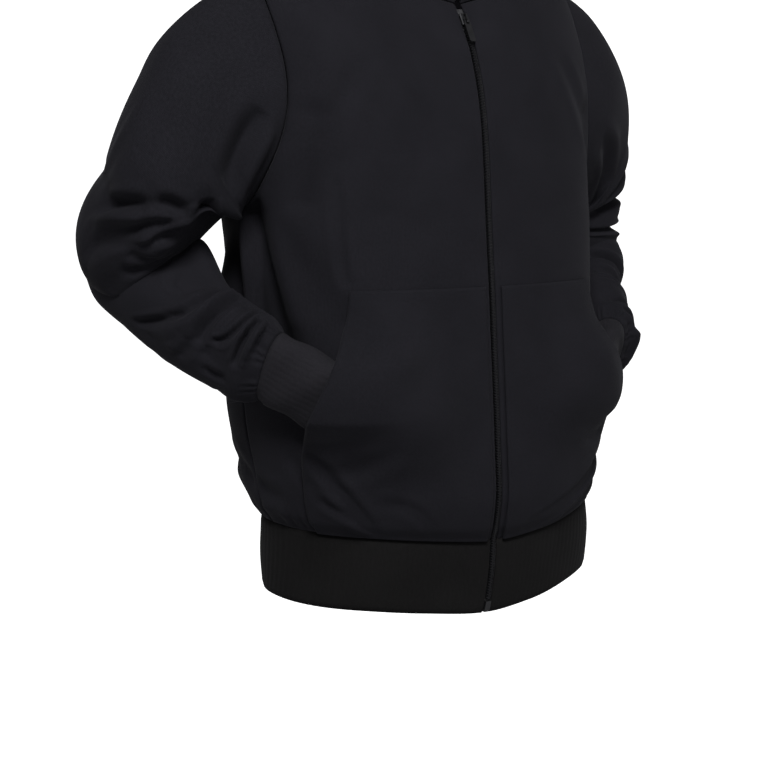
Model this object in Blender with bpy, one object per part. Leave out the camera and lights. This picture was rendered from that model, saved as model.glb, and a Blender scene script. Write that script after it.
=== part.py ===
# Zip-up hooded sweatshirt, worn, with both sleeves ending in the pockets.
# Metres, +Z up. The front faces -Y and the wearer's right arm is on the -X side.
# Heights in the tables are above the hem's lower edge. The origin is between the
# shoulders, level with the shoulder seams, where the wearer holds the garment up.
# "around" turns from the zip (0) past the side seam (1) to the middle of the back (2).
# It is negative on the wearer's right.

import math
from collections import namedtuple

import bmesh
import bpy
import numpy as np
from mathutils import Matrix

ORIGIN_HEIGHT = 0.655
CLOTH = 0.0022
RIB_WALL = 0.0024
RIB_RISE = 0.0007
TAPE_WALL = 0.0010
SEAM_GAP = 0.0003
SEAM_STEP = 0.0004
HALF_GAP = SEAM_GAP / 2
QUARTER_TURN = math.pi / 2
PROBE = 1e-4

# Body
BAND_HEIGHT = 0.077
ARMPIT_HEIGHT = 0.405
SHOULDER_POINT_HEIGHT = 0.642
NECK_POINT_HEIGHT = 0.685
NECK_FRONT_HEIGHT = 0.612
NECK_LIFT_START = 0.385
ARMHOLE_HALF_TURN = 0.22
ARMHOLE_FULLNESS = 0.6
ROWS_BELOW_ARMPIT = 12
ROWS_AT_ARMHOLE = 10
ROWS_OVER_SHOULDER = 3
FRONT_COLUMNS = 11
BACK_COLUMNS = 20

# Hem band and cuffs
HEM_RIBS = 132
HEM_POINTS_PER_PLAIN = 6
CUFF_RIBS = 36
CUFF_POINTS_PER_PLAIN = 4
BAND_ROWS = 3

# Sleeves
# Rows along the sleeve, closer at the elbow's creases and at the gathered end.
SLEEVE_ROWS_UPPER = (0.0, 0.035, 0.075, 0.120, 0.165, 0.210, 0.250, 0.285, 0.315)
SLEEVE_ROWS_ELBOW = (0.345, 0.375, 0.405, 0.440, 0.475, 0.520, 0.570, 0.610, 0.645)
SLEEVE_ROWS_LOWER = (0.690, 0.740, 0.790, 0.835, 0.875, 0.905, 0.930)
SLEEVE_ROWS_END = (0.955, 0.975, 0.990, 1.0)
SLEEVE_SETTLED = 0.22
SLEEVE_CLEARANCE = 0.0022
LEAST_CLEARANCE = 0.0012
CLEARED_RUN = 0.12
FACING_FROM = 0.35
FACING_TO = 1.75
FACING_STEPS = 141

# Pockets
POCKET_ZIP_EDGE = 0.0095
POCKET_TOP_HEIGHT = 0.330
POCKET_ROWS_AT_MOUTH = 9
POCKET_COLUMNS = 11
POCKET_MOUTH_ROW = 3
POCKET_LEAST_STEP = 0.008
POCKET_SEWN_REACH = 0.33
POCKET_CORNER_START = 0.55
POCKET_CORNER_RUN = 0.03

# Zip
ZIP_HALF_GAP = 0.0038
TAPE_INNER_EDGE = 0.0003
TAPE_OUTER_EDGE = 0.0145
TAPE_BOTTOM = 0.002
TAPE_TOP = 0.609
TAPE_DEPTH = 0.0034

# Hood
HOOD_ROWS = 10
HOOD_SEAM_TURN = 0.002

Section = namedtuple("Section", "height half_width front back centre_x centre_y square")
TORSO_SECTIONS = [
    Section(0.000, 0.187, 0.127, 0.122, 0.017, -0.013, 2.2),
    Section(0.040, 0.188, 0.130, 0.122, 0.017, -0.013, 2.2),
    Section(0.077, 0.187, 0.134, 0.118, 0.015, -0.012, 2.2),
    Section(0.094, 0.193, 0.146, 0.122, 0.010, -0.010, 2.25),
    Section(0.130, 0.197, 0.156, 0.128, 0.005, -0.008, 2.3),
    Section(0.200, 0.204, 0.159, 0.140, 0.002, -0.004, 2.3),
    Section(0.300, 0.205, 0.156, 0.146, 0.000, -0.002, 2.3),
    Section(0.400, 0.207, 0.148, 0.148, 0.001, 0.000, 2.3),
    Section(0.500, 0.210, 0.137, 0.145, 0.002, 0.000, 2.3),
    Section(0.560, 0.207, 0.122, 0.135, 0.001, 0.000, 2.3),
    Section(0.600, 0.203, 0.102, 0.120, 0.000, 0.000, 2.25),
    Section(0.625, 0.197, 0.087, 0.107, 0.000, 0.000, 2.2),
    Section(0.642, 0.186, 0.079, 0.097, 0.000, 0.000, 2.15),
    Section(0.660, 0.146, 0.071, 0.087, 0.000, 0.000, 2.1),
    Section(0.685, 0.082, 0.062, 0.074, 0.000, 0.000, 2.0),
]

# How much the hem dips below level round the body, dying out above the hem band.
HemDip = namedtuple("HemDip", "around rise")
HEM_DIPS = [
    HemDip(-2.00, 0.006),
    HemDip(-1.35, 0.009),
    HemDip(-0.60, 0.002),
    HemDip(-0.35, -0.003),
    HemDip(0.00, -0.009),
    HemDip(0.30, -0.003),
    HemDip(0.75, 0.012),
    HemDip(1.20, 0.012),
    HemDip(2.00, 0.006),
]
DIP_FULL_BELOW = 0.09
DIP_GONE_ABOVE = 0.30

# How far the zip swings towards the wearer's right, in turns.
ZipSwing = namedtuple("ZipSwing", "height turn")
ZIP_SWINGS = [
    ZipSwing(0.00, -0.056),
    ZipSwing(0.02, -0.040),
    ZipSwing(0.08, -0.018),
    ZipSwing(0.14, 0.000),
    ZipSwing(0.30, 0.000),
    ZipSwing(0.50, 0.000),
]

NeckLevel = namedtuple("NeckLevel", "around height")
NECK_LEVELS = [
    NeckLevel(0.00, 0.612),
    NeckLevel(0.35, 0.626),
    NeckLevel(0.70, 0.660),
    NeckLevel(1.00, 0.685),
    NeckLevel(1.35, 0.683),
    NeckLevel(2.00, 0.672),
]

# A soft ridge (rise above 0) or trough (below 0) along a line on the body.
BodyFold = namedtuple("BodyFold", "from_around from_height to_around to_height width rise")
BODY_FOLDS = [
    BodyFold(-0.86, 0.40, -0.60, 0.30, 0.022, -0.006),
    BodyFold(-1.08, 0.36, -0.92, 0.25, 0.020, -0.005),
    BodyFold(-0.70, 0.50, -0.74, 0.42, 0.016, -0.007),
    BodyFold(-0.47, 0.43, -0.48, 0.33, 0.018, -0.004),
    BodyFold(0.70, 0.50, 0.76, 0.42, 0.016, -0.007),
    BodyFold(1.10, 0.40, 1.35, 0.30, 0.022, -0.006),
    BodyFold(-1.12, 0.41, -1.40, 0.30, 0.022, -0.006),
    BodyFold(1.55, 0.15, 1.85, 0.12, 0.020, 0.005),
    BodyFold(-1.50, 0.17, -1.25, 0.12, 0.020, 0.005),
    BodyFold(1.60, 0.52, 1.30, 0.44, 0.024, -0.005),
    BodyFold(-1.60, 0.52, -1.30, 0.44, 0.024, -0.005),
]

# Sleeve rings, from the armhole to the cuff seam. "out" is the distance from the
# body's middle plane, "lean" how far the ring's inner side points down (90) or in (0).
Ring = namedtuple("Ring", "along out back height lean half_side half_front")
RIGHT_SLEEVE_RINGS = [
    Ring(0.00, 0.1980, 0.005, 0.5235, 90, 0.1185, 0.060),
    Ring(0.07, 0.2270, 0.004, 0.5090, 79, 0.1090, 0.062),
    Ring(0.15, 0.2460, 0.006, 0.4850, 65, 0.0990, 0.062),
    Ring(0.24, 0.2570, 0.012, 0.4525, 51, 0.0870, 0.067),
    Ring(0.34, 0.2720, 0.030, 0.4120, 33, 0.0700, 0.072),
    Ring(0.44, 0.2900, 0.062, 0.3740, 18, 0.0550, 0.062),
    Ring(0.54, 0.2780, 0.076, 0.3480, 5, 0.0530, 0.057),
    Ring(0.65, 0.2660, 0.046, 0.3210, 0, 0.0520, 0.047),
    Ring(0.77, 0.2570, -0.005, 0.2950, 0, 0.0470, 0.046),
    Ring(0.88, 0.2400, -0.046, 0.2750, 0, 0.0360, 0.048),
    Ring(0.96, 0.2255, -0.068, 0.2630, 0, 0.0300, 0.048),
    Ring(1.00, 0.2150, -0.082, 0.2558, 0, 0.0225, 0.038),
]
LEFT_SLEEVE_RINGS = [
    Ring(0.00, 0.1980, 0.005, 0.5235, 90, 0.1185, 0.060),
    Ring(0.07, 0.2270, 0.014, 0.5090, 80, 0.1090, 0.062),
    Ring(0.15, 0.2390, 0.028, 0.4850, 68, 0.0975, 0.063),
    Ring(0.24, 0.2470, 0.048, 0.4525, 53, 0.0840, 0.068),
    Ring(0.34, 0.2570, 0.066, 0.4120, 34, 0.0710, 0.072),
    Ring(0.44, 0.2670, 0.078, 0.3720, 17, 0.0630, 0.068),
    Ring(0.54, 0.2700, 0.080, 0.3400, 5, 0.0600, 0.062),
    Ring(0.65, 0.2640, 0.050, 0.3110, 0, 0.0530, 0.053),
    Ring(0.77, 0.2510, 0.010, 0.2870, 0, 0.0420, 0.048),
    Ring(0.88, 0.2380, -0.030, 0.2690, 0, 0.0330, 0.046),
    Ring(0.96, 0.2290, -0.053, 0.2550, 0, 0.0290, 0.045),
    Ring(1.00, 0.2180, -0.068, 0.2485, 0, 0.0200, 0.034),
]
SLEEVE_SQUARE = 2.3

SleeveFold = namedtuple("SleeveFold", "from_turn from_along to_turn to_along width rise")
RIGHT_SLEEVE_FOLDS = [
    SleeveFold(0.19, 0.285, 0.46, 0.375, 0.012, -0.0055),
    SleeveFold(0.22, 0.315, 0.44, 0.405, 0.010, 0.0030),
    SleeveFold(0.18, 0.325, 0.45, 0.435, 0.012, -0.0055),
    SleeveFold(0.16, 0.350, 0.36, 0.465, 0.012, -0.0040),
    SleeveFold(0.64, 0.400, 0.48, 0.455, 0.020, 0.0040),
    SleeveFold(0.66, 0.350, 0.90, 0.320, 0.015, -0.0045),
    SleeveFold(0.66, 0.570, 0.95, 0.640, 0.015, -0.0045),
    SleeveFold(0.54, 0.735, 0.20, 0.790, 0.014, -0.0045),
    SleeveFold(0.52, 0.800, 0.24, 0.835, 0.012, 0.0040),
    SleeveFold(0.50, 0.870, 0.22, 0.890, 0.011, -0.0050),
    SleeveFold(0.30, 0.950, 0.66, 0.955, 0.012, 0.0045),
    SleeveFold(0.72, 0.860, 0.98, 0.820, 0.014, -0.0040),
]
LEFT_SLEEVE_FOLDS = [
    SleeveFold(0.16, 0.340, 0.52, 0.350, 0.013, -0.0130),
    SleeveFold(0.20, 0.395, 0.50, 0.430, 0.014, -0.0035),
    SleeveFold(0.18, 0.625, 0.56, 0.640, 0.016, 0.0100),
    SleeveFold(0.20, 0.570, 0.50, 0.560, 0.014, -0.0040),
    SleeveFold(0.20, 0.765, 0.60, 0.750, 0.018, -0.0060),
    SleeveFold(0.66, 0.350, 0.92, 0.310, 0.015, -0.0045),
    SleeveFold(0.68, 0.580, 0.94, 0.640, 0.015, -0.0045),
    SleeveFold(0.45, 0.962, 0.80, 0.965, 0.012, 0.0080),
    SleeveFold(0.50, 0.900, 0.20, 0.915, 0.011, -0.0045),
]

# Where the cloth at the bent elbow's inner side is pushed up, and by how much.
SleeveLift = namedtuple("SleeveLift", "turn along half_turn half_along rise")
RIGHT_SLEEVE_LIFTS = [
    SleeveLift(0.130, 0.345, 0.085, 0.055, 0.030),
    SleeveLift(0.150, 0.440, 0.090, 0.080, 0.018),
    SleeveLift(0.160, 0.560, 0.090, 0.090, 0.016),
    SleeveLift(0.165, 0.690, 0.075, 0.050, 0.022),
]
LEFT_SLEEVE_LIFTS = [
    SleeveLift(0.150, 0.420, 0.090, 0.080, 0.004),
]

# Cuff rings past the sleeve seam, down into the pocket.
CuffRing = namedtuple("CuffRing", "out back height half_side half_front")
RIGHT_CUFF_RINGS = [
    CuffRing(0.2056, -0.0935, 0.2480, 0.0215, 0.0385),
    CuffRing(0.1925, -0.1115, 0.2375, 0.0210, 0.0390),
    CuffRing(0.1810, -0.1240, 0.2290, 0.0205, 0.0395),
    CuffRing(0.1715, -0.1325, 0.2235, 0.0200, 0.0395),
]
LEFT_CUFF_RINGS = [
    CuffRing(0.2070, -0.0790, 0.2415, 0.0165, 0.0345),
    CuffRing(0.1955, -0.0915, 0.2345, 0.0145, 0.0345),
    CuffRing(0.1825, -0.1040, 0.2285, 0.0130, 0.0345),
    CuffRing(0.1715, -0.1145, 0.2240, 0.0125, 0.0345),
]

# Outer edge of a pocket, and how far it stands off the front there.
PocketEdge = namedtuple("PocketEdge", "height around stand_off")
RIGHT_POCKET_EDGE = [
    PocketEdge(0.077, 0.765, 0.000),
    PocketEdge(0.120, 0.757, 0.002),
    PocketEdge(0.160, 0.745, 0.010),
    PocketEdge(0.179, 0.735, 0.020),
    PocketEdge(0.190, 0.715, 0.034),
    PocketEdge(0.206, 0.680, 0.051),
    PocketEdge(0.232, 0.628, 0.055),
    PocketEdge(0.255, 0.594, 0.052),
    PocketEdge(0.275, 0.582, 0.034),
    PocketEdge(0.295, 0.578, 0.012),
    PocketEdge(0.312, 0.575, 0.003),
    PocketEdge(0.330, 0.573, 0.000),
]
LEFT_POCKET_EDGE = [
    PocketEdge(0.077, 0.765, 0.000),
    PocketEdge(0.120, 0.757, 0.002),
    PocketEdge(0.155, 0.745, 0.008),
    PocketEdge(0.175, 0.735, 0.015),
    PocketEdge(0.186, 0.716, 0.023),
    PocketEdge(0.203, 0.684, 0.029),
    PocketEdge(0.228, 0.635, 0.031),
    PocketEdge(0.248, 0.604, 0.029),
    PocketEdge(0.268, 0.588, 0.020),
    PocketEdge(0.290, 0.580, 0.008),
    PocketEdge(0.312, 0.575, 0.003),
    PocketEdge(0.330, 0.573, 0.000),
]
# The mouth's stand-off reaches this far in from the edge, as shares of the width.
MOUTH_FADE_START = 0.15
MOUTH_FADE_RUN = 0.72
POCKET_CLEARANCE = 0.0007
# A rounded hump that the hand makes under the pocket.
Hump = namedtuple("Hump", "around height half_around half_height rise")
RIGHT_POCKET_HUMPS = [
    Hump(0.43, 0.207, 0.20, 0.056, 0.034),
]
LEFT_POCKET_HUMPS = [
    Hump(0.43, 0.220, 0.20, 0.046, 0.022),
]

HoodProfile = namedtuple(
    "HoodProfile", "around out_1 up_1 out_2 up_2 out_3 up_3 out_4 up_4"
)
HOOD_PROFILES = [
    HoodProfile(0.00, 0.001, 0.008, 0.003, 0.016, 0.005, 0.024, 0.006, 0.032),
    HoodProfile(0.45, 0.008, 0.014, 0.018, 0.026, 0.022, 0.042, 0.017, 0.056),
    HoodProfile(0.95, 0.020, 0.012, 0.052, 0.012, 0.064, 0.040, 0.042, 0.066),
    HoodProfile(1.35, 0.030, -0.004, 0.078, -0.050, 0.092, -0.012, 0.064, 0.052),
    HoodProfile(1.70, 0.040, -0.025, 0.100, -0.120, 0.118, -0.062, 0.088, 0.034),
    HoodProfile(2.00, 0.044, -0.036, 0.104, -0.150, 0.126, -0.080, 0.096, 0.026),
]

# Slider, pull tab and bottom box. Rises are out from the cloth's face.
SLIDER_HEIGHT = 0.596
SLIDER_FOOT = 0.0004
PLATE_HALF_WIDTH = 0.0046
PLATE_HALF_LENGTH = 0.0065
PLATE_TOP = 0.0026
PLATE_CHAMFER = 0.0008
STEM_HALF_WIDTH = 0.0026
STEM_DEPTH = 0.0029
BAIL_HALF_WIDTH = 0.0010
BAIL_HALF_LENGTH = 0.0052
BAIL_LEG = 0.0018
BAIL_TOP = 0.0062
BAIL_THICKNESS = 0.0012
BAIL_SINK = 0.0004
PIN_RISE = 0.0037
TAB_HALF_THICKNESS = 0.0007
TAB_LENGTH = 0.0270
TAB_HALF_WIDTH = 0.0036
TAB_CHAMFER = 0.0014
TAB_BAR = 0.0006
EYE_HALF_WIDTH = 0.0018
EYE_LENGTH = 0.0069
EYE_CHAMFER = 0.0006
BOX_LOW = 0.0010
BOX_HIGH = 0.0120
BOX_HALF_WIDTH = 0.0032
BOX_RISE = 0.0014
BOX_DEPTH = 0.0029


def smooth_between(keys, values, at):
    """Cubic curve through the table's points that never overshoots them."""
    keys = np.asarray(keys, float)
    values = np.asarray(values, float)
    at = np.clip(np.asarray(at, float), keys[0], keys[-1])
    step = np.diff(keys)
    slope = np.diff(values) / step
    tangent = np.zeros_like(values)
    rising = slope[:-1] * slope[1:] > 0
    weight_1 = 2 * step[1:] + step[:-1]
    weight_2 = step[1:] + 2 * step[:-1]
    safe_1 = np.where(rising, slope[:-1], 1.0)
    safe_2 = np.where(rising, slope[1:], 1.0)
    mean = (weight_1 + weight_2) / (weight_1 / safe_1 + weight_2 / safe_2)
    tangent[1:-1] = np.where(rising, mean, 0.0)
    tangent[0] = slope[0]
    tangent[-1] = slope[-1]
    cell = np.clip(np.searchsorted(keys, at, side="right") - 1, 0, len(step) - 1)
    t = (at - keys[cell]) / step[cell]
    t2 = t * t
    t3 = t2 * t
    return (
        values[cell] * (2 * t3 - 3 * t2 + 1)
        + tangent[cell] * step[cell] * (t3 - 2 * t2 + t)
        + values[cell + 1] * (3 * t2 - 2 * t3)
        + tangent[cell + 1] * step[cell] * (t3 - t2)
    )


def column(table, name):
    return [getattr(row, name) for row in table]


def read(table, key, name, at):
    return smooth_between(column(table, key), column(table, name), at)


def unit(vectors):
    return vectors / np.maximum(np.linalg.norm(vectors, axis=-1, keepdims=True), 1e-12)


def ease(t):
    t = np.clip(t, 0, 1)
    return t * t * (3 - 2 * t)


def point(x, y, height):
    x, y, height = np.broadcast_arrays(x, y, height)
    return np.stack([x, y, height - ORIGIN_HEIGHT], axis=-1)


def ridge(a, b, start, end, width, scale_a):
    """1 along the line from start to end, falling to 0 within about two widths."""
    start_a = start[0] * scale_a
    end_a = end[0] * scale_a
    run_a = end_a - start_a
    run_b = end[1] - start[1]
    length = max(math.hypot(run_a, run_b), 1e-9)
    near_a = a * scale_a - start_a
    near_b = b - start[1]
    t = np.clip((near_a * run_a + near_b * run_b) / length**2, 0, 1)
    distance = np.hypot(near_a - t * run_a, near_b - t * run_b)
    return np.exp(-((distance / width) ** 2))


# ---- body surface ----

TURN_LENGTH = 0.285


def plain_torso(around, height):
    """Rounded section at each height: wider than deep, its front and back differing."""
    around, height = np.broadcast_arrays(around, height)
    angle = (around + read(ZIP_SWINGS, "height", "turn", height)) * QUARTER_TURN
    across = np.sin(angle)
    ahead = np.cos(angle)
    half_width = read(TORSO_SECTIONS, "height", "half_width", height)
    front = read(TORSO_SECTIONS, "height", "front", height)
    back = read(TORSO_SECTIONS, "height", "back", height)
    square = read(TORSO_SECTIONS, "height", "square", height)
    depth = np.where(ahead > 0, front, back)
    radius = (
        np.abs(across / half_width) ** square + np.abs(ahead / depth) ** square
    ) ** (-1 / square)
    x = read(TORSO_SECTIONS, "height", "centre_x", height) + radius * across
    y = read(TORSO_SECTIONS, "height", "centre_y", height) - radius * ahead
    turn = (around + 2) % 4 - 2
    fade = ease((DIP_GONE_ABOVE - height) / (DIP_GONE_ABOVE - DIP_FULL_BELOW))
    return point(x, y, height + fade * read(HEM_DIPS, "around", "rise", turn))


def normals_from(surface, around, height):
    along = surface(around, height + PROBE) - surface(around, height - PROBE)
    across = surface(around + PROBE, height) - surface(around - PROBE, height)
    return unit(np.cross(across, along))


def body_fold_height(around, height):
    total = np.zeros(np.broadcast(around, height).shape)
    for fold in BODY_FOLDS:
        for turn in (-4, 0, 4):
            total = total + fold.rise * ridge(
                around + turn,
                height,
                (fold.from_around, fold.from_height),
                (fold.to_around, fold.to_height),
                fold.width,
                TURN_LENGTH,
            )
    zip_free = ease(np.abs(np.sin(around * QUARTER_TURN / 2)) / 0.12)
    seam_free = ease((height - BAND_HEIGHT) / 0.03)
    neck_free = ease((0.62 - height) / 0.05)
    return total * zip_free * seam_free * neck_free


def torso(around, height):
    base = plain_torso(around, height)
    rise = body_fold_height(around, height)
    return base + rise[..., None] * normals_from(plain_torso, around, height)


def torso_normals(around, height):
    return normals_from(torso, around, height)


def neck_height(around):
    return read(NECK_LEVELS, "around", "height", np.abs(around))


def zip_edge_turn(height, half_gap):
    depth = read(TORSO_SECTIONS, "height", "front", height)
    return np.arcsin(half_gap / depth) / QUARTER_TURN


def row_levels():
    """Row heights measured along the zip, with rows at the armpit and shoulder point."""
    lift = NECK_POINT_HEIGHT - NECK_FRONT_HEIGHT
    levels = np.linspace(NECK_LIFT_START, NECK_FRONT_HEIGHT, 400)
    at_side = levels + lift * row_lift(levels)
    armpit = np.interp(ARMPIT_HEIGHT, at_side, levels)
    shoulder = np.interp(SHOULDER_POINT_HEIGHT, at_side, levels)
    bottom = BAND_HEIGHT + HALF_GAP
    low = np.array([bottom, 0.083, 0.093, 0.107])
    low = np.concatenate([low, np.linspace(0.13, armpit, ROWS_BELOW_ARMPIT - 3)])
    middle = np.linspace(armpit, shoulder, ROWS_AT_ARMHOLE + 1)[1:]
    high = np.linspace(shoulder, NECK_FRONT_HEIGHT, ROWS_OVER_SHOULDER + 1)[1:]
    return np.concatenate([low, middle, high])


def row_lift(level):
    return ease((level - NECK_LIFT_START) / (NECK_FRONT_HEIGHT - NECK_LIFT_START))


def side_height(level):
    return level + (NECK_POINT_HEIGHT - NECK_FRONT_HEIGHT) * row_lift(level)


def armhole_turn(height):
    t = (height - ARMPIT_HEIGHT) / (SHOULDER_POINT_HEIGHT - ARMPIT_HEIGHT)
    t = np.clip(t, 0, 1)
    return ARMHOLE_HALF_TURN * np.sin(math.pi * t) ** ARMHOLE_FULLNESS


def lifted(around, level):
    return level + (neck_height(around) - NECK_FRONT_HEIGHT) * row_lift(level)


LEVELS = row_levels()
ARMPIT_ROW = ROWS_BELOW_ARMPIT
SHOULDER_ROW = ARMPIT_ROW + ROWS_AT_ARMHOLE


def side_turns(level):
    """Turns at which the front and the back end, either side of the side seam."""
    seam = HALF_GAP / TURN_LENGTH
    hole = armhole_turn(side_height(level))
    return 1 - hole - seam, 1 + hole + seam


def front_grid(side):
    inner = zip_edge_turn(LEVELS, ZIP_HALF_GAP)[:, None]
    outer = side_turns(LEVELS)[0][:, None]
    across = np.linspace(0, 1, FRONT_COLUMNS)[None, :]
    around = inner + (outer - inner) * across
    return side * around, lifted(around, LEVELS[:, None])


def back_grid():
    edge = side_turns(LEVELS)[1][:, None]
    across = np.linspace(-1, 1, BACK_COLUMNS + 1)[None, :]
    around = 2 + (2 - edge) * across
    mirrored = np.where(around > 2, 4 - around, around)
    return around, lifted(mirrored, LEVELS[:, None])


def armhole_centre(side):
    edge = armhole_edge(side, "front")
    opposite = armhole_edge(side, "back")
    return (edge.mean(axis=0) + opposite.mean(axis=0)) / 2


def armhole_edge(side, which):
    levels = LEVELS[ARMPIT_ROW : SHOULDER_ROW + 1]
    turns = side_turns(levels)[0 if which == "front" else 1]
    return torso(side * turns, lifted(turns, levels))


def mitre(normal_here, normal_there):
    return unit(normal_here + normal_there)


def across_seam(towards, rim):
    """Direction from one rim to the next piece's, square to the rim's own direction."""
    return unit(towards - (towards * rim).sum(axis=-1, keepdims=True) * rim)


def armhole_normals(side, which):
    """Rim direction shared by the body and the sleeve where they are sewn together."""
    levels = LEVELS[ARMPIT_ROW : SHOULDER_ROW + 1]
    turns = side_turns(levels)[0 if which == "front" else 1]
    here = outward_torso_normals(side * turns, lifted(turns, levels))
    ring = armhole_edge(side, which) - armhole_centre(side)
    ring[:, 0] = 0
    return here, unit(ring)


def outward_torso_normals(around, height):
    normals = torso_normals(around, height)
    places = torso(around, height)
    outward = places.copy()
    outward[..., 2] = 0
    sign = np.sign((normals * outward).sum(axis=-1, keepdims=True))
    return normals * np.where(sign == 0, 1, sign)


# ---- walls ----


def strip(outer_line, inner_line):
    """Triangles between a line of many points and one of fewer, end to end."""
    ratio = (len(outer_line) - 1) // (len(inner_line) - 1)
    half = ratio // 2
    faces = []
    for cell in range(len(inner_line) - 1):
        start = cell * ratio
        for step in range(ratio):
            near = inner_line[cell] if step < half else inner_line[cell + 1]
            faces.append((outer_line[start + step], outer_line[start + step + 1], near))
        middle = outer_line[start + half]
        faces.append((middle, inner_line[cell + 1], inner_line[cell]))
    return faces


def sheet_faces(index, closed):
    rows, columns = index.shape
    faces = []
    last = columns if closed else columns - 1
    for row in range(rows - 1):
        for cell in range(last):
            following = (cell + 1) % columns
            faces.append(
                (
                    index[row, cell],
                    index[row, following],
                    index[row + 1, following],
                    index[row + 1, cell],
                )
            )
    return faces


def wall(name, outer, inner, closed, finish):
    """A cloth wall between a grid of outer points and one of inner points."""
    outer_count = outer.shape[0] * outer.shape[1]
    outer_index = np.arange(outer_count).reshape(outer.shape[:2])
    inner_index = outer_count + np.arange(inner.shape[0] * inner.shape[1])
    inner_index = inner_index.reshape(inner.shape[:2])
    faces = sheet_faces(outer_index, closed)
    faces += [face[::-1] for face in sheet_faces(inner_index, closed)]
    for row in (0, -1):
        outer_line = list(outer_index[row])
        inner_line = list(inner_index[row])
        if closed:
            outer_line.append(outer_line[0])
            inner_line.append(inner_line[0])
        rim = strip(outer_line, inner_line)
        faces += rim if row == -1 else [face[::-1] for face in rim]
    if not closed:
        for side in (0, -1):
            rim = strip(list(outer_index[:, side]), list(inner_index[:, side]))
            faces += rim if side == 0 else [face[::-1] for face in rim]
    points = np.concatenate([outer.reshape(-1, 3), inner.reshape(-1, 3)])
    return make_object(name, points, faces, finish)


def make_object(name, points, faces, finish):
    mesh = bpy.data.meshes.new(name)
    mesh.from_pydata(points.tolist(), [], [tuple(int(i) for i in face) for face in faces])
    shaped = bmesh.new()
    shaped.from_mesh(mesh)
    bmesh.ops.recalc_face_normals(shaped, faces=shaped.faces)
    if shaped.calc_volume(signed=True) < 0:
        bmesh.ops.reverse_faces(shaped, faces=shaped.faces)
    shaped.to_mesh(mesh)
    shaped.free()
    mesh.shade_smooth()
    mesh.set_sharp_from_angle(angle=math.radians(50))
    mesh.materials.append(finish)
    made = bpy.data.objects.new(name, mesh)
    bpy.context.scene.collection.objects.link(made)
    return made


def finish(name, colour, roughness, metallic=0.0):
    material = bpy.data.materials.new(name)
    material.use_nodes = True
    shader = material.node_tree.nodes["Principled BSDF"]
    shader.inputs["Base Color"].default_value = (*colour, 1)
    shader.inputs["Roughness"].default_value = roughness
    shader.inputs["Metallic"].default_value = metallic
    material.diffuse_color = (*colour, 1)
    return material


# ---- pieces ----


def level_row(normals, row):
    """Turns one row's rim level, so that the neighbour's rim meets it face to face."""
    normals[row, :, 2] = 0
    normals[row] = unit(normals[row])


def body_panel(name, around, height, rims, finish):
    outer = torso(around, height)
    normals = outward_torso_normals(around, height)
    level_row(normals, 0)
    for columns, side, which in rims:
        here, there = armhole_normals(side, which)
        normals[ARMPIT_ROW : SHOULDER_ROW + 1, columns] = mitre(here, there)
    normals[-1] = mitre(normals[-1], neck_outward(around[-1]))
    return wall(name, outer, outer - CLOTH * normals, False, finish)


def neck_outward(around):
    """Level direction away from the neck, at a turn round the neckline."""
    angle = around * QUARTER_TURN
    return np.stack([np.sin(angle), -np.cos(angle), np.zeros_like(angle)], axis=-1)


def fronts_and_back(finish_of):
    for side, word in ((-1, "right"), (1, "left")):
        around, height = front_grid(side)
        body_panel(
            "front_" + word, around, height, [(-1, side, "front")], finish_of["fleece"]
        )
    around, height = back_grid()
    rims = [(0, 1, "back"), (-1, -1, "back")]
    body_panel("back", around, height, rims, finish_of["fleece"])


def hem_band(finish_of):
    """Rib band from one zip edge round the back to the other."""
    columns = 2 * HEM_RIBS
    plain_columns = columns // HEM_POINTS_PER_PLAIN
    rows = band_rows()[:, None]
    edge = zip_edge_turn(rows, ZIP_HALF_GAP)

    def spread(count):
        return edge + (4 - 2 * edge) * np.linspace(0, 1, count + 1)[None, :]

    fine = spread(columns)
    plain = spread(plain_columns)
    raised = RIB_RISE * (np.arange(columns + 1) % 2)
    fade = np.array([0.4] + [1.0] * (BAND_ROWS - 1) + [0.0])
    fine_normals = outward_torso_normals(fine, rows)
    plain_normals = outward_torso_normals(plain, rows)
    for normals in (fine_normals, plain_normals):
        for row in range(BAND_ROWS + 1):
            level_row(normals, row)
    lift = fade[:, None] * raised[None, :]
    outer = torso(fine, rows) + lift[..., None] * fine_normals
    inner = torso(plain, rows) - RIB_WALL * plain_normals
    wall("hem_band", outer, inner, False, finish_of["rib"])


def sleeve_frame(rings, side, along):
    """Centre and the two half axes of the ring at each place along the sleeve."""

    def centre_at(place):
        return point(
            side * read(rings, "along", "out", place),
            read(rings, "along", "back", place),
            read(rings, "along", "height", place),
        )

    centre = centre_at(along)
    forward = unit(centre_at(along + 0.02) - centre_at(along - 0.02))
    lean = np.radians(read(rings, "along", "lean", along))
    inward = np.stack([-side * np.cos(lean), 0 * lean, -np.sin(lean)], axis=-1)
    level = inward - (inward * forward).sum(-1, keepdims=True) * forward
    upright = ease((0.4 - along) / 0.2)[..., None]
    inward = unit(inward * upright + unit(level) * (1 - upright))
    front = unit(side * -np.cross(forward, inward))
    half_side = read(rings, "along", "half_side", along)[..., None]
    half_front = read(rings, "along", "half_front", along)[..., None]
    return centre, inward * half_side, front * half_front


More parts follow.
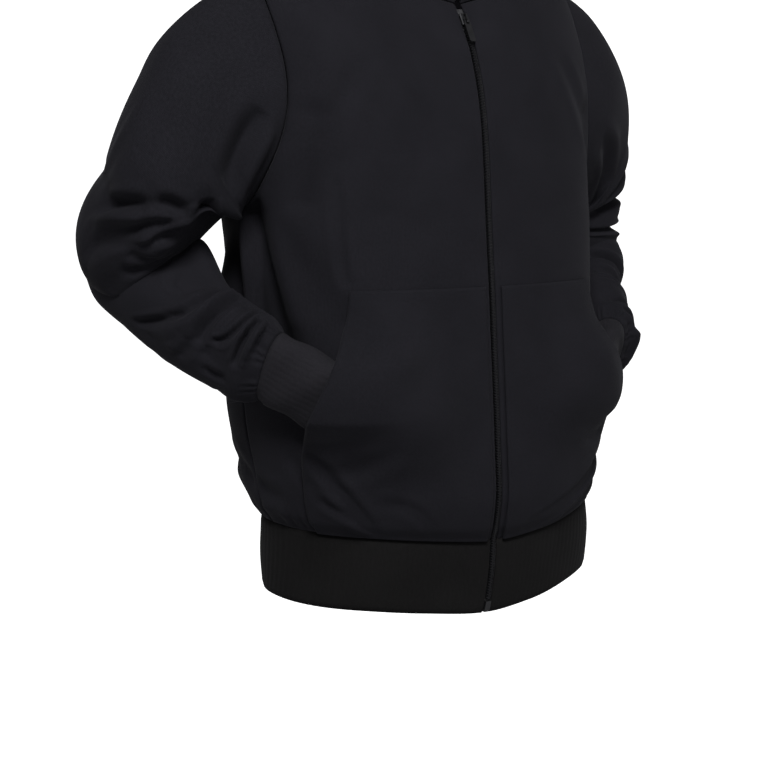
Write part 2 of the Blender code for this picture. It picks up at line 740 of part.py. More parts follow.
def armhole_ring(side):
    """Outer points and rim directions of the sleeve's first ring, underarm first."""
    front = armhole_edge(side, "front")
    back = armhole_edge(side, "back")
    front_here, front_there = armhole_normals(side, "front")
    back_here, back_there = armhole_normals(side, "back")
    places = np.concatenate([front, back[::-1][1:-1]])
    here = np.concatenate([front_here, back_here[::-1][1:-1]])
    there = np.concatenate([front_there, back_there[::-1][1:-1]])
    for spot, which in ((0, 0), (len(front) - 1, -1)):
        places[spot] = (front[which] + back[which]) / 2
        here[spot] = unit(front_here[which] + back_here[which])
        there[spot] = unit(front_there[which] + back_there[which])
    rim = mitre(here, there)
    return places + SEAM_STEP * across_seam(np.array([side, 0.0, 0.0]), rim), rim


def rounded_turn(turn):
    """Cosine and sine of a squarish round."""
    angle = 2 * math.pi * turn
    cosine = np.cos(angle)
    sine = np.sin(angle)
    radius = (np.abs(cosine) ** SLEEVE_SQUARE + np.abs(sine) ** SLEEVE_SQUARE) ** (
        -1 / SLEEVE_SQUARE
    )
    return radius * cosine, radius * sine


def sleeve_places():
    upper = SLEEVE_ROWS_UPPER + SLEEVE_ROWS_ELBOW
    return np.array(upper + SLEEVE_ROWS_LOWER + SLEEVE_ROWS_END)


def clear_of_body(places, side, margin):
    """Points nearer the body than the margin are moved level and straight out."""
    height = places[..., 2] + ORIGIN_HEIGHT
    around = side * np.linspace(FACING_FROM, FACING_TO, FACING_STEPS)
    body = torso(around, height[..., None])
    nearest = ((places[..., None, :] - body) ** 2).sum(-1).argmin(-1)
    spot = torso(around[nearest], height)
    away = outward_torso_normals(around[nearest], height)
    away[..., 2] = 0
    away = unit(away)
    gap = ((places - spot) * away).sum(-1)
    return places + np.maximum(margin - gap, 0)[..., None] * away


def sleeve(name, side, rings, lifts, folds, finish):
    first, first_normals = armhole_ring(side)
    count = len(first)
    turn = np.arange(count) / count
    along = sleeve_places()
    centre, inward, front = sleeve_frame(rings, side, along)
    cosine, sine = rounded_turn(turn)
    cosine = cosine[None, :, None]
    sine = sine[None, :, None]
    outer = centre[:, None] + inward[:, None] * cosine + front[:, None] * sine
    misfit = first - outer[0]
    settle = (1 - ease(along / SLEEVE_SETTLED))[:, None, None]
    outer = outer + misfit[None] * settle
    for lift in lifts:
        near = ((turn[None, :] - lift.turn) / lift.half_turn) ** 2
        near = near + ((along[:, None] - lift.along) / lift.half_along) ** 2
        outer[..., 2] += lift.rise * np.exp(-near)
    normals = grid_normals(outer, side)
    rise = sleeve_fold_height(turn[None, :], along[:, None], folds)
    outer = outer + rise[..., None] * normals
    cleared = ease(along / CLEARED_RUN)[:, None]
    margin = LEAST_CLEARANCE + (SLEEVE_CLEARANCE - LEAST_CLEARANCE) * cleared
    outer = clear_of_body(outer, side, margin)
    outer[0] = first
    normals = grid_normals(outer, side)
    normals[0] = first_normals
    normals[-1] = unit(outer[-1] - centre[-1])
    return wall(name, outer, outer - CLOTH * normals, True, finish)


SLEEVE_LENGTH = 0.52
SLEEVE_GIRTH = 0.46


def sleeve_fold_height(turn, along, folds):
    total = np.zeros(np.broadcast(turn, along).shape)
    for fold in folds:
        for shift in (-1, 0, 1):
            total = total + fold.rise * ridge(
                turn + shift,
                along * SLEEVE_LENGTH,
                (fold.from_turn, fold.from_along * SLEEVE_LENGTH),
                (fold.to_turn, fold.to_along * SLEEVE_LENGTH),
                fold.width,
                SLEEVE_GIRTH,
            )
    return total * ease(along / 0.06) * ease((1 - along) / 0.05)


def grid_normals(grid, side):
    """Outward normals of a tube of rings, from its neighbouring points."""
    across = np.roll(grid, -1, axis=1) - np.roll(grid, 1, axis=1)
    along = np.gradient(grid, axis=0)
    return unit(side * np.cross(along, across))


def cuff(name, side, sleeve_rings, rings, finish):
    """Rib tube from the sleeve's last ring through the table's rings into the pocket."""
    seam_centre, seam_inward, seam_front = sleeve_frame(sleeve_rings, side, np.array([1.0]))
    forward = unit(-side * np.cross(seam_inward, seam_front))
    centres = point(
        side * np.array(column(rings, "out")),
        np.array(column(rings, "back")),
        np.array(column(rings, "height")),
    )
    centres = np.concatenate([seam_centre + SEAM_GAP * forward, centres])
    forward = unit(np.gradient(centres, axis=0))
    inward = np.broadcast_to(unit(seam_inward), centres.shape)
    inward = unit(inward - (inward * forward).sum(-1, keepdims=True) * forward)
    front = side * -np.cross(forward, inward)
    inward[0] = unit(seam_inward[0])
    front[0] = unit(seam_front[0])
    half_side = np.array([sleeve_rings[-1].half_side] + column(rings, "half_side"))
    half_front = np.array([sleeve_rings[-1].half_front] + column(rings, "half_front"))
    half_side = half_side[:, None, None]
    half_front = half_front[:, None, None]

    def ring_points(count, growth):
        cosine, sine = rounded_turn(np.arange(count) / count)
        out = growth[..., None]
        return (
            centres[:, None]
            + inward[:, None] * (half_side + out) * cosine[None, :, None]
            + front[:, None] * (half_front + out) * sine[None, :, None]
        )

    columns = 2 * CUFF_RIBS
    fade = np.array([0.0] + [1.0] * (len(rings) - 1) + [0.4])
    lift = fade[:, None] * (RIB_RISE * (np.arange(columns) % 2))[None, :]
    outer = ring_points(columns, lift)
    plain_count = columns // CUFF_POINTS_PER_PLAIN
    inner = ring_points(plain_count, np.full((len(centres), plain_count), -RIB_WALL))
    outer = clear_of_body(outer, side, SLEEVE_CLEARANCE + lift - RIB_RISE)
    inner = clear_of_body(inner, side, SLEEVE_CLEARANCE + RIB_WALL)
    return wall(name, outer, inner, True, finish)


def pocket_grid(side, edge):
    """Rows at the front's own rows below the mouth, then evenly up to the top seam."""
    mouth = edge[POCKET_MOUTH_ROW].height
    low = LEVELS[LEVELS < mouth - POCKET_LEAST_STEP]
    high = np.linspace(mouth, POCKET_TOP_HEIGHT, POCKET_ROWS_AT_MOUTH + 1)
    height = np.concatenate([low, high])[:, None]
    outer = read(edge, "height", "around", height)
    inner = zip_edge_turn(height, POCKET_ZIP_EDGE)
    across = np.linspace(0, 1, POCKET_COLUMNS + 1)[None, :]
    return side * (inner + (outer - inner) * across), height + 0 * across, across


def pocket(name, side, edge, humps, finish):
    """Panel on the front's own points, moved out, standing off at its mouth."""
    around, height, across = pocket_grid(side, edge)
    near_mouth = ease((across - MOUTH_FADE_START) / MOUTH_FADE_RUN)
    stand_off = read(edge, "height", "stand_off", height) * near_mouth
    hump = np.zeros_like(around)
    for row in humps:
        near = ((np.abs(around) - row.around) / row.half_around) ** 2
        near = near + ((height - row.height) / row.half_height) ** 2
        hump = hump + row.rise * np.exp(-near)
    span = POCKET_TOP_HEIGHT - BAND_HEIGHT
    from_bottom = ease((height - BAND_HEIGHT) / (POCKET_SEWN_REACH * span))
    from_top = ease((POCKET_TOP_HEIGHT - height) / (POCKET_SEWN_REACH * span))
    sewn = ease(across / POCKET_SEWN_REACH) * from_bottom * from_top
    mouth = edge[POCKET_MOUTH_ROW].height
    side_seam = ease((mouth - height) / POCKET_CORNER_RUN)
    side_seam = side_seam * ease((across - POCKET_CORNER_START) / (1 - POCKET_CORNER_START))
    hump = hump * sewn * (1 - side_seam)
    clear = POCKET_CLEARANCE * ease((height - LEVELS[0]) / POCKET_LEAST_STEP)
    rise = SEAM_GAP + clear + (hump**3 + stand_off**3) ** (1 / 3)
    base = torso(around, height)
    normals = outward_torso_normals(around, height)
    level_row(normals, 0)
    inner = base + rise[..., None] * normals
    outer = base + (rise + CLOTH)[..., None] * normals
    return wall(name, outer, inner, False, finish)


def band_rows():
    return np.linspace(0, BAND_HEIGHT - HALF_GAP, BAND_ROWS + 1)


def zip_tape(name, side, finish):
    """Strip behind the front's edge, with the front's own rows."""
    rows = np.concatenate([[TAPE_BOTTOM], band_rows()[1:], LEVELS[1:-1], [TAPE_TOP]])
    rows = rows[:, None]
    near = zip_edge_turn(rows, TAPE_INNER_EDGE)
    far = zip_edge_turn(rows, TAPE_OUTER_EDGE)
    around = side * np.concatenate([near, far], axis=1)
    normals = outward_torso_normals(around, rows)
    outer = torso(around, rows) - TAPE_DEPTH * normals
    return wall(name, outer, outer - TAPE_WALL * normals, False, finish)


def neckline(side):
    """Points, rim directions and turns of the body's top edge, from zip to back seam."""
    front_around, front_height = front_grid(side)
    back_around, back_height = back_grid()
    if side > 0:
        back_around = back_around[:, : BACK_COLUMNS // 2 + 1]
        back_height = back_height[:, : BACK_COLUMNS // 2 + 1]
    else:
        back_around = back_around[:, : BACK_COLUMNS // 2 - 1 : -1] - 4
        back_height = back_height[:, : BACK_COLUMNS // 2 - 1 : -1]
    around = np.concatenate([front_around[-1], back_around[-1, 1:]])
    height = np.concatenate([front_height[-1], back_height[-1, 1:]])
    join = FRONT_COLUMNS - 1
    around[join] = side
    height[join] = NECK_POINT_HEIGHT
    around[-1] = side * (2 - HOOD_SEAM_TURN)
    return torso(around, height), outward_torso_normals(around, height), around


def hood_half(name, side, finish):
    """From the neckline over the roll to the face edge, one profile after another."""
    base, here, around = neckline(side)
    away = neck_outward(around)
    rim = mitre(here, away)
    base = base + SEAM_STEP * across_seam(np.array([0.0, 0.0, 1.0]), rim)
    keys = np.linspace(0, 1, 5)
    places = np.linspace(0, 1, HOOD_ROWS + 1)
    outs = [0 * around]
    ups = [0 * around]
    for step in "1234":
        outs.append(read(HOOD_PROFILES, "around", "out_" + step, np.abs(around)))
        ups.append(read(HOOD_PROFILES, "around", "up_" + step, np.abs(around)))
    grid = np.zeros((HOOD_ROWS + 1, len(around), 3))
    for cell in range(len(around)):
        out = rounded_run(keys, [values[cell] for values in outs], places)
        up = rounded_run(keys, [values[cell] for values in ups], places)
        grid[:, cell] = base[cell] + out[:, None] * away[cell]
        grid[:, cell, 2] += up
    across = np.gradient(grid, axis=1)
    along = np.gradient(grid, axis=0)
    normals = unit(side * np.cross(across, along))
    normals[0] = rim
    normals[:, -1, 0] = 0
    normals[:, -1] = unit(normals[:, -1])
    return wall(name, grid, grid - CLOTH * normals, False, finish)


def rounded_run(keys, values, at):
    """Catmull-Rom curve through a profile's points."""
    keys = np.asarray(keys)
    values = np.asarray(values)
    tangent = np.gradient(values, keys)
    cell = np.clip(np.searchsorted(keys, at, side="right") - 1, 0, len(keys) - 2)
    step = keys[cell + 1] - keys[cell]
    t = (at - keys[cell]) / step
    return (
        values[cell] * (2 * t**3 - 3 * t**2 + 1)
        + tangent[cell] * step * (t**3 - 2 * t**2 + t)
        + values[cell + 1] * (3 * t**2 - 2 * t**3)
        + tangent[cell + 1] * step * (t**3 - t**2)
    )


# ---- zip hardware ----


def zip_frame(height):
    """Place on the zip's line, with axes across it, into the cloth and along it."""
    edge = np.array(0.0)
    here = torso(edge, np.array(height))
    above = torso(edge, np.array(height + PROBE))
    along = above - here
    along[0] = 0
    along = unit(along)
    across = np.array([1.0, 0.0, 0.0])
    frame = Matrix.Identity(4)
    frame.col[0][:3] = across
    frame.col[1][:3] = np.cross(along, across)
    frame.col[2][:3] = along
    frame.col[3][:3] = here
    return frame


def prism(name, outline, start, end, place, finish):
    """Solid between two copies of an outline, which place() puts in space."""
    count = len(outline)
    points = [place(u, v, w) for w in (start, end) for u, v in outline]
    faces = [tuple(range(count)), tuple(range(2 * count - 1, count - 1, -1))]
    for spot in range(count):
        after = (spot + 1) % count
        faces.append((spot, after, count + after, count + spot))
    return make_object(name, np.array(points), faces, finish)


def cut_corners(half_width, low, high, cut):
    """Rectangle with cut corners, from its upper right corner round."""
    near = half_width - cut
    right = [(near, high), (half_width, high - cut), (half_width, low + cut), (near, low)]
    return right + [(-u, v) for u, v in reversed(right)]


def zip_slider(finish):
    frame = zip_frame(SLIDER_HEIGHT)
    shoulder = PLATE_HALF_WIDTH - PLATE_CHAMFER
    right = [
        (STEM_HALF_WIDTH, -STEM_DEPTH),
        (STEM_HALF_WIDTH, SLIDER_FOOT),
        (PLATE_HALF_WIDTH, SLIDER_FOOT),
        (PLATE_HALF_WIDTH, PLATE_TOP - PLATE_CHAMFER),
        (shoulder, PLATE_TOP),
    ]
    outline = right + [(-u, v) for u, v in reversed(right)]
    body = prism(
        "zip_slider",
        outline,
        -PLATE_HALF_LENGTH,
        PLATE_HALF_LENGTH,
        lambda u, v, w: (u, -v, w),
        finish,
    )
    inside = BAIL_HALF_LENGTH - BAIL_LEG
    foot = PLATE_TOP - BAIL_SINK
    right = [
        (inside, BAIL_TOP - BAIL_THICKNESS),
        (inside, foot),
        (BAIL_HALF_LENGTH, foot),
        (BAIL_HALF_LENGTH, BAIL_TOP - BAIL_THICKNESS),
        (inside, BAIL_TOP),
    ]
    outline = right + [(-u, v) for u, v in reversed(right)]
    bail = prism(
        "bail",
        outline,
        -BAIL_HALF_WIDTH,
        BAIL_HALF_WIDTH,
        lambda u, v, w: (w, -v, u),
        finish,
    )
    bail.hide_render = True
    bail.display_type = "WIRE"
    join = body.modifiers.new("bail", "BOOLEAN")
    join.operation = "UNION"
    join.solver = "EXACT"
    join.object = bail
    body.matrix_world = frame
    bail.matrix_world = frame


def zip_pull_tab(finish):
    """Flat plate whose eye goes round the bail. Its origin is on the eye's bar."""
    rim = cut_corners(TAB_HALF_WIDTH, -TAB_LENGTH, TAB_BAR, TAB_CHAMFER)
    eye = cut_corners(EYE_HALF_WIDTH, -EYE_LENGTH, -TAB_BAR, EYE_CHAMFER)
    count = len(rim)
    points = []
    for depth in (-TAB_HALF_THICKNESS, TAB_HALF_THICKNESS):
        points += [(u, depth, v) for u, v in rim + eye]
    faces = []
    for spot in range(count):
        after = (spot + 1) % count
        ring = [(spot, after), (count + spot, count + after)]
        ring += [(a + 2 * count, b + 2 * count) for a, b in reversed(ring)]
        for (a, b), (c, d) in zip(ring, ring[1:] + ring[:1]):
            faces.append((a, b, d, c))
    tab = make_object("zip_pull_tab", np.array(points), faces, finish)
    frame = zip_frame(SLIDER_HEIGHT)
    tab.matrix_world = frame @ Matrix.Translation((0, -PIN_RISE, 0))


def zip_box(finish):
    """Block that holds the zip's lower ends, between the hem band's front edges."""
    low = zip_box_ring(BOX_LOW)
    high = zip_box_ring(BOX_HIGH)
    faces = [(3, 2, 1, 0), (4, 5, 6, 7)]
    faces += [(i, (i + 1) % 4, 4 + (i + 1) % 4, 4 + i) for i in range(4)]
    make_object("zip_box", np.concatenate([low, high]), faces, finish)


def zip_box_ring(height):
    centre = zip_edge_turn(np.array(height), 0.0)
    here = torso(centre, np.array(height))
    away = outward_torso_normals(centre, np.array(height))
    away[2] = 0
    away = unit(away)
    across = np.array([-away[1], away[0], 0.0])
    corners = []
    for width, rise in ((-1, -BOX_DEPTH), (1, -BOX_DEPTH), (1, BOX_RISE), (-1, BOX_RISE)):
        corners.append(here + width * BOX_HALF_WIDTH * across + rise * away)
    return np.array(corners)


def main():
    for old in list(bpy.data.objects):
        bpy.data.objects.remove(old, do_unlink=True)
    finish_of = {
        "fleece": finish("fleece", (0.014, 0.014, 0.018), 0.9),
        "rib": finish("rib", (0.011, 0.011, 0.012), 0.92),
        "metal": finish("dark_metal", (0.06, 0.06, 0.065), 0.35, 1.0),
    }
    fronts_and_back(finish_of)
    hem_band(finish_of)
    for side, word, rings, lifts, folds, cuff_rings, edge, humps in (
        (
            -1,
            "right",
            RIGHT_SLEEVE_RINGS,
            RIGHT_SLEEVE_LIFTS,
            RIGHT_SLEEVE_FOLDS,
            RIGHT_CUFF_RINGS,
            RIGHT_POCKET_EDGE,
            RIGHT_POCKET_HUMPS,
        ),
        (
            1,
            "left",
            LEFT_SLEEVE_RINGS,
            LEFT_SLEEVE_LIFTS,
            LEFT_SLEEVE_FOLDS,
            LEFT_CUFF_RINGS,
            LEFT_POCKET_EDGE,
            LEFT_POCKET_HUMPS,
        ),
    ):
        sleeve("sleeve_" + word, side, rings, lifts, folds, finish_of["fleece"])
        cuff("cuff_" + word, side, rings, cuff_rings, finish_of["rib"])
        pocket("pocket_" + word, side, edge, humps, finish_of["fleece"])
        zip_tape("zip_tape_" + word, side, finish_of["rib"])
        hood_half("hood_" + word, side, finish_of["fleece"])
    zip_slider(finish_of["metal"])
    zip_pull_tab(finish_of["metal"])
    zip_box(finish_of["metal"])


main()
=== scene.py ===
import math

import bpy
import numpy as np
from mathutils import Matrix


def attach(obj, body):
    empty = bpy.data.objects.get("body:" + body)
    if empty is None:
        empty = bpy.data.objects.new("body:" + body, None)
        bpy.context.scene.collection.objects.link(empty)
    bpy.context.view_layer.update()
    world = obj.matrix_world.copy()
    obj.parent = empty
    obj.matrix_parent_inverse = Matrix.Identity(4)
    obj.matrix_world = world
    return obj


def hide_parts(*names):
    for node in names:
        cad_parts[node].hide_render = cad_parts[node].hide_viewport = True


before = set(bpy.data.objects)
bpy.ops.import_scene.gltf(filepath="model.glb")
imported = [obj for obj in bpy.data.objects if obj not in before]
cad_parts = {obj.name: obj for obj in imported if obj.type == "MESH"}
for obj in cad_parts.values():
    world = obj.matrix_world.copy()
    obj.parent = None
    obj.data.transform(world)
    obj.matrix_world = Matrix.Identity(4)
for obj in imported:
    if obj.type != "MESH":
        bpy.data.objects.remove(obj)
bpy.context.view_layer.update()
print("frame loaded")

originHeight = 0.655  # heights are above the hem, the origin is between the shoulders
quarter = math.pi / 2
clothWall = 0.0022
smallStep = 1e-4  # for slopes taken from two close points
nearZero = 1e-12
roundBody = (-4, 0, 4)  # a body turn is a quarter of the way round
roundArm = (-1, 0, 1)
edges = {"seam": (0.0022, 0.0010), "hood": (0.0024, 0.0010), "armhole": (0.0120, 0.0010)}
creaseLine = {"cells": 14, "endDepth": 0.15, "lip": 0.35, "lipAt": 1.9, "lipWidth": 0.8}


def table(names, *rows):
    return dict(zip(names.split(), np.array(rows, float).T))


def cubic(first, last, leaving, arriving, t):
    # cubic from the first value to the last, t from 0 to 1, with the slope at each end
    start = first * (2 * t**3 - 3 * t**2 + 1) + leaving * (t**3 - 2 * t**2 + t)
    return start + last * (3 * t**2 - 2 * t**3) + arriving * (t**3 - t**2)


def through(keys, values, at):
    # cubic through the points, slope = harmonic mean of the neighbours, so no overshoot
    at = np.clip(np.asarray(at, float), keys[0], keys[-1])
    run = np.diff(keys)
    slope = np.diff(values) / run
    tangent = np.zeros_like(values)
    rising = slope[:-1] * slope[1:] > 0
    left = 2 * run[1:] + run[:-1]
    right = run[1:] + 2 * run[:-1]
    before = np.where(rising, slope[:-1], 1.0)
    after = np.where(rising, slope[1:], 1.0)
    tangent[1:-1] = np.where(rising, (left + right) / (left / before + right / after), 0.0)
    tangent[0] = slope[0]
    tangent[-1] = slope[-1]
    cell = np.clip(np.searchsorted(keys, at, side="right") - 1, 0, len(run) - 1)
    t = (at - keys[cell]) / run[cell]
    slopes = tangent[cell] * run[cell], tangent[cell + 1] * run[cell]
    return cubic(values[cell], values[cell + 1], *slopes, t)


def ease(t):
    t = np.clip(t, 0, 1)
    return t * t * (3 - 2 * t)


def unit(vectors):
    return vectors / np.maximum(np.linalg.norm(vectors, axis=-1, keepdims=True), nearZero)


def readAlong(run, rows, places):
    # each column of the rows, read at places along the run
    return np.stack([np.interp(places, run, column) for column in rows.T], axis=-1)


def lengths(line):
    # length from the line's start to each of its points
    return np.append(0, np.cumsum(np.linalg.norm(np.diff(line, axis=0), axis=1)))


def point(x, y, height):
    return np.stack(np.broadcast_arrays(x, y, height - originHeight), axis=-1)


def gridNormals(grid, closed, sign):
    # normal = difference across the columns x difference along the rows
    if closed:
        across = np.roll(grid, -1, axis=1) - np.roll(grid, 1, axis=1)
    else:
        across = np.gradient(grid, axis=1)
    return unit(sign * np.cross(across, np.gradient(grid, axis=0)))


def foldSum(u, v, folds, uScale, wraps):
    # each fold = rise x exp(-(distance to its line / width) squared)
    total = np.zeros(np.broadcast(u, v).shape)
    for row in zip(*folds.values()):
        fromU, fromV, toU, toV, width, rise = row
        runU = (toU - fromU) * uScale
        runV = toV - fromV
        length = max(math.hypot(runU, runV), nearZero)
        for wrap in wraps:
            nearU = (u + wrap - fromU) * uScale
            nearV = v - fromV
            t = np.clip((nearU * runU + nearV * runV) / length**2, 0, 1)
            far = np.hypot(nearU - t * runU, nearV - t * runV)
            total = total + rise * np.exp(-((far / width) ** 2))
    return total


def creaseSum(u, v, creases, uScale, wraps):
    # each crease = rise x swell along a bent line x (valley with a low lip on each side)
    total = np.zeros(np.broadcast(u, v).shape)
    cells = creaseLine["cells"]
    shares = np.linspace(0, 1, cells + 1)[:, None]
    endDepth = creaseLine["endDepth"]
    for row in zip(*creases.values()):
        fromU, fromV, midU, midV, toU, toV, width, rise = row
        start = np.array([fromU * uScale, fromV])
        end = np.array([toU * uScale, toV])
        control = 2 * np.array([midU * uScale, midV]) - (start + end) / 2
        line = start * (1 - shares) ** 2 + control * 2 * shares * (1 - shares) + end * shares**2
        for wrap in wraps:
            nearU = (u + wrap) * uScale + 0 * v
            nearV = v + 0 * nearU
            best = np.full(nearU.shape, np.inf)
            place = np.zeros(nearU.shape)
            for cell in range(cells):
                fromLineU = nearU - line[cell][0]
                fromLineV = nearV - line[cell][1]
                run = line[cell + 1] - line[cell]
                t = (fromLineU * run[0] + fromLineV * run[1]) / max((run**2).sum(), nearZero)
                t = np.clip(t, 0, 1)
                far = (fromLineU - t * run[0]) ** 2 + (fromLineV - t * run[1]) ** 2
                closer = far < best
                best = np.where(closer, far, best)
                place = np.where(closer, (cell + t) / cells, place)
            far = np.sqrt(best) / width
            swell = endDepth + (1 - endDepth) * np.sqrt(np.clip(4 * place * (1 - place), 0, 1))
            lip = np.exp(-(((far - creaseLine["lipAt"]) / creaseLine["lipWidth"]) ** 2))
            total = total + rise * swell * (np.exp(-(far**2)) - creaseLine["lip"] * lip)
    return total


body = {
    "sections": table(
        "height halfWidth front back middleX middleY square",
        (0.000, 0.187, 0.127, 0.122, 0.017, -0.013, 2.2),
        (0.040, 0.188, 0.130, 0.122, 0.017, -0.013, 2.2),
        (0.077, 0.187, 0.134, 0.118, 0.015, -0.012, 2.2),
        (0.094, 0.193, 0.146, 0.122, 0.010, -0.010, 2.25),
        (0.130, 0.197, 0.156, 0.128, 0.005, -0.008, 2.3),
        (0.200, 0.204, 0.159, 0.140, 0.002, -0.004, 2.3),
        (0.300, 0.205, 0.156, 0.146, 0.000, -0.002, 2.3),
        (0.400, 0.207, 0.148, 0.148, 0.001, 0.000, 2.3),
        (0.500, 0.210, 0.137, 0.145, 0.002, 0.000, 2.3),
        (0.560, 0.207, 0.122, 0.135, 0.001, 0.000, 2.3),
        (0.600, 0.203, 0.102, 0.120, 0.000, 0.000, 2.25),
        (0.625, 0.197, 0.087, 0.107, 0.000, 0.000, 2.2),
        (0.642, 0.186, 0.079, 0.097, 0.000, 0.000, 2.15),
        (0.660, 0.146, 0.071, 0.087, 0.000, 0.000, 2.1),
        (0.685, 0.082, 0.062, 0.074, 0.000, 0.000, 2.0),
    ),
    "dips": table(
        "turn rise",
        (-2.00, 0.006),
        (-1.35, 0.009),
        (-0.60, 0.002),
        (-0.35, -0.003),
        (0.00, -0.009),
        (0.30, -0.003),
        (0.75, 0.012),
        (1.20, 0.012),
        (2.00, 0.006),
    ),
    "swings": table(
        "height turn",
        (0.00, -0.056),
        (0.02, -0.040),
        (0.08, -0.018),
        (0.14, 0.000),
        (0.30, 0.000),
        (0.50, 0.000),
    ),
    "neck": table(
        "turn height",
        (0.00, 0.612),
        (0.35, 0.626),
        (0.70, 0.660),
        (1.00, 0.685),
        (1.35, 0.683),
        (2.00, 0.672),
    ),
    "folds": table(
        "fromTurn fromHeight toTurn toHeight width rise",
        (-0.86, 0.40, -0.60, 0.30, 0.022, -0.006),
        (-1.08, 0.36, -0.92, 0.25, 0.020, -0.005),
        (-0.70, 0.50, -0.74, 0.42, 0.016, -0.007),
        (-0.47, 0.43, -0.48, 0.33, 0.018, -0.004),
        (0.70, 0.50, 0.76, 0.42, 0.016, -0.007),
        (1.10, 0.40, 1.35, 0.30, 0.022, -0.006),
        (-1.12, 0.41, -1.40, 0.30, 0.022, -0.006),
        (1.55, 0.15, 1.85, 0.12, 0.020, 0.005),
        (-1.50, 0.17, -1.25, 0.12, 0.020, 0.005),
        (1.60, 0.52, 1.30, 0.44, 0.024, -0.005),
        (-1.60, 0.52, -1.30, 0.44, 0.024, -0.005),
    ),
    "creases": table(
        "fromTurn fromHeight midTurn midHeight toTurn toHeight width rise",
        (-0.615, 0.438, -0.600, 0.366, -0.575, 0.334, 0.005, -0.0028),
        (-0.80, 0.160, -0.70, 0.125, -0.55, 0.100, 0.008, -0.0030),
        (-1.15, 0.150, -1.00, 0.120, -0.85, 0.110, 0.009, -0.0035),
        (-1.45, 0.180, -1.25, 0.140, -1.10, 0.130, 0.010, -0.0030),
        (0.76, 0.165, 0.90, 0.128, 1.05, 0.118, 0.008, -0.0080),
        (0.78, 0.215, 0.90, 0.180, 1.05, 0.155, 0.009, -0.0070),
        (1.25, 0.200, 1.45, 0.150, 1.70, 0.130, 0.010, -0.0035),
        (1.60, 0.300, 1.85, 0.270, 2.15, 0.300, 0.016, -0.0035),
        (1.55, 0.230, 1.90, 0.205, 2.30, 0.235, 0.014, -0.0035),
        (-1.55, 0.400, -1.35, 0.330, -1.10, 0.270, 0.014, -0.0040),
        (1.55, 0.400, 1.35, 0.330, 1.10, 0.270, 0.014, -0.0040),
        (-0.55, 0.560, -0.60, 0.520, -0.68, 0.470, 0.010, -0.0025),
        (0.55, 0.560, 0.60, 0.520, 0.68, 0.470, 0.010, -0.0025),
        (1.45, 0.590, 1.38, 0.530, 1.30, 0.480, 0.012, -0.0035),
        (-1.45, 0.590, -1.38, 0.530, -1.30, 0.480, 0.012, -0.0035),
        (1.75, 0.150, 1.95, 0.125, 2.20, 0.110, 0.009, -0.0030),
    ),
    "troughs": table(
        "fromTurn fromHeight toTurn toHeight width rise",
        (-0.985, 0.430, -0.810, 0.270, 0.018, -0.0160),
        (-1.055, 0.425, -0.890, 0.260, 0.022, -0.0110),
        (-1.130, 0.420, -0.970, 0.250, 0.026, -0.0100),
        (-0.880, 0.420, -0.760, 0.300, 0.012, 0.0025),
    ),
    "turnLength": 0.285,
    "hemDips": 0.30,
    "dipFade": 0.21,
    "zipFade": 0.12,
    "bandFade": 0.03,
    "foldsTop": 0.62,
    "topFade": 0.05,
    "gather": 0.0011,
    "gatherWaves": (96, 2.2, 23),
    "gatherHeight": 0.080,
    "gatherFade": 0.016,
    "gatherStart": 0.0775,
    "gatherEase": 0.004,
    "endFade": 0.02,
    "seamFade": 0.012,
    "bandTop": 0.077,
    "armpit": 0.405,
    "shoulderPoint": 0.642,
    "neckPoint": 0.685,
    "neckFront": 0.612,
    "liftStart": 0.385,
    "holeHalfTurn": 0.22,
    "holeRoundness": 0.6,
    "zipHalfGap": 0.0038,
    "rows": 216,
    "frontColumns": 100,
    "backColumns": 190,
}


def read(source, key, name, at):
    return through(source[key], source[name], at)


def plainBody(turn, height):
    # section: |across / half width| ^ n + |ahead / depth| ^ n = 1
    turn, height = np.broadcast_arrays(turn, height)
    sections = body["sections"]
    angle = (turn + read(body["swings"], "height", "turn", height)) * quarter
    across = np.sin(angle)
    ahead = np.cos(angle)
    halfWidth = read(sections, "height", "halfWidth", height)
    front = read(sections, "height", "front", height)
    back = read(sections, "height", "back", height)
    square = read(sections, "height", "square", height)
    depth = np.where(ahead > 0, front, back)
    radius = (np.abs(across / halfWidth) ** square + np.abs(ahead / depth) ** square) ** (
        -1 / square
    )
    x = read(sections, "height", "middleX", height) + radius * across
    y = read(sections, "height", "middleY", height) - radius * ahead
    level = (turn + 2) % 4 - 2
    fade = ease((body["hemDips"] - height) / body["dipFade"])  # they die out up the body
    return point(x, y, height + fade * read(body["dips"], "turn", "rise", level))


def surfaceNormals(surface, turn, height):
    along = surface(turn, height + smallStep) - surface(turn, height - smallStep)
    across = surface(turn + smallStep, height) - surface(turn - smallStep, height)
    return unit(np.cross(across, along))


def bodySurface(turn, height):
    turn, height = np.broadcast_arrays(turn, height)
    rise = foldSum(turn, height, body["folds"], body["turnLength"], roundBody)
    rise = rise * ease(np.abs(np.sin(turn * quarter / 2)) / body["zipFade"])
    rise = rise * ease((height - body["bandTop"]) / body["bandFade"])
    rise = rise * ease((body["foldsTop"] - height) / body["topFade"])
    return plainBody(turn, height) + rise[..., None] * surfaceNormals(plainBody, turn, height)


def bodyNormals(turn, height):
    return surfaceNormals(bodySurface, turn, height)


def neckHeight(turn):
    return read(body["neck"], "turn", "height", np.abs(turn))


def zipTurn(height, halfGap):
    depth = read(body["sections"], "height", "front", height)
    return np.arcsin(halfGap / depth) / quarter


def lifting(level):
    # share of the neck edge's rise that a row of the body follows
    return ease((level - body["liftStart"]) / (body["neckFront"] - body["liftStart"]))


def lifted(turn, level):
    return level + (neckHeight(turn) - body["neckFront"]) * lifting(level)


def sideHeight(level):
    return level + (body["neckPoint"] - body["neckFront"]) * lifting(level)


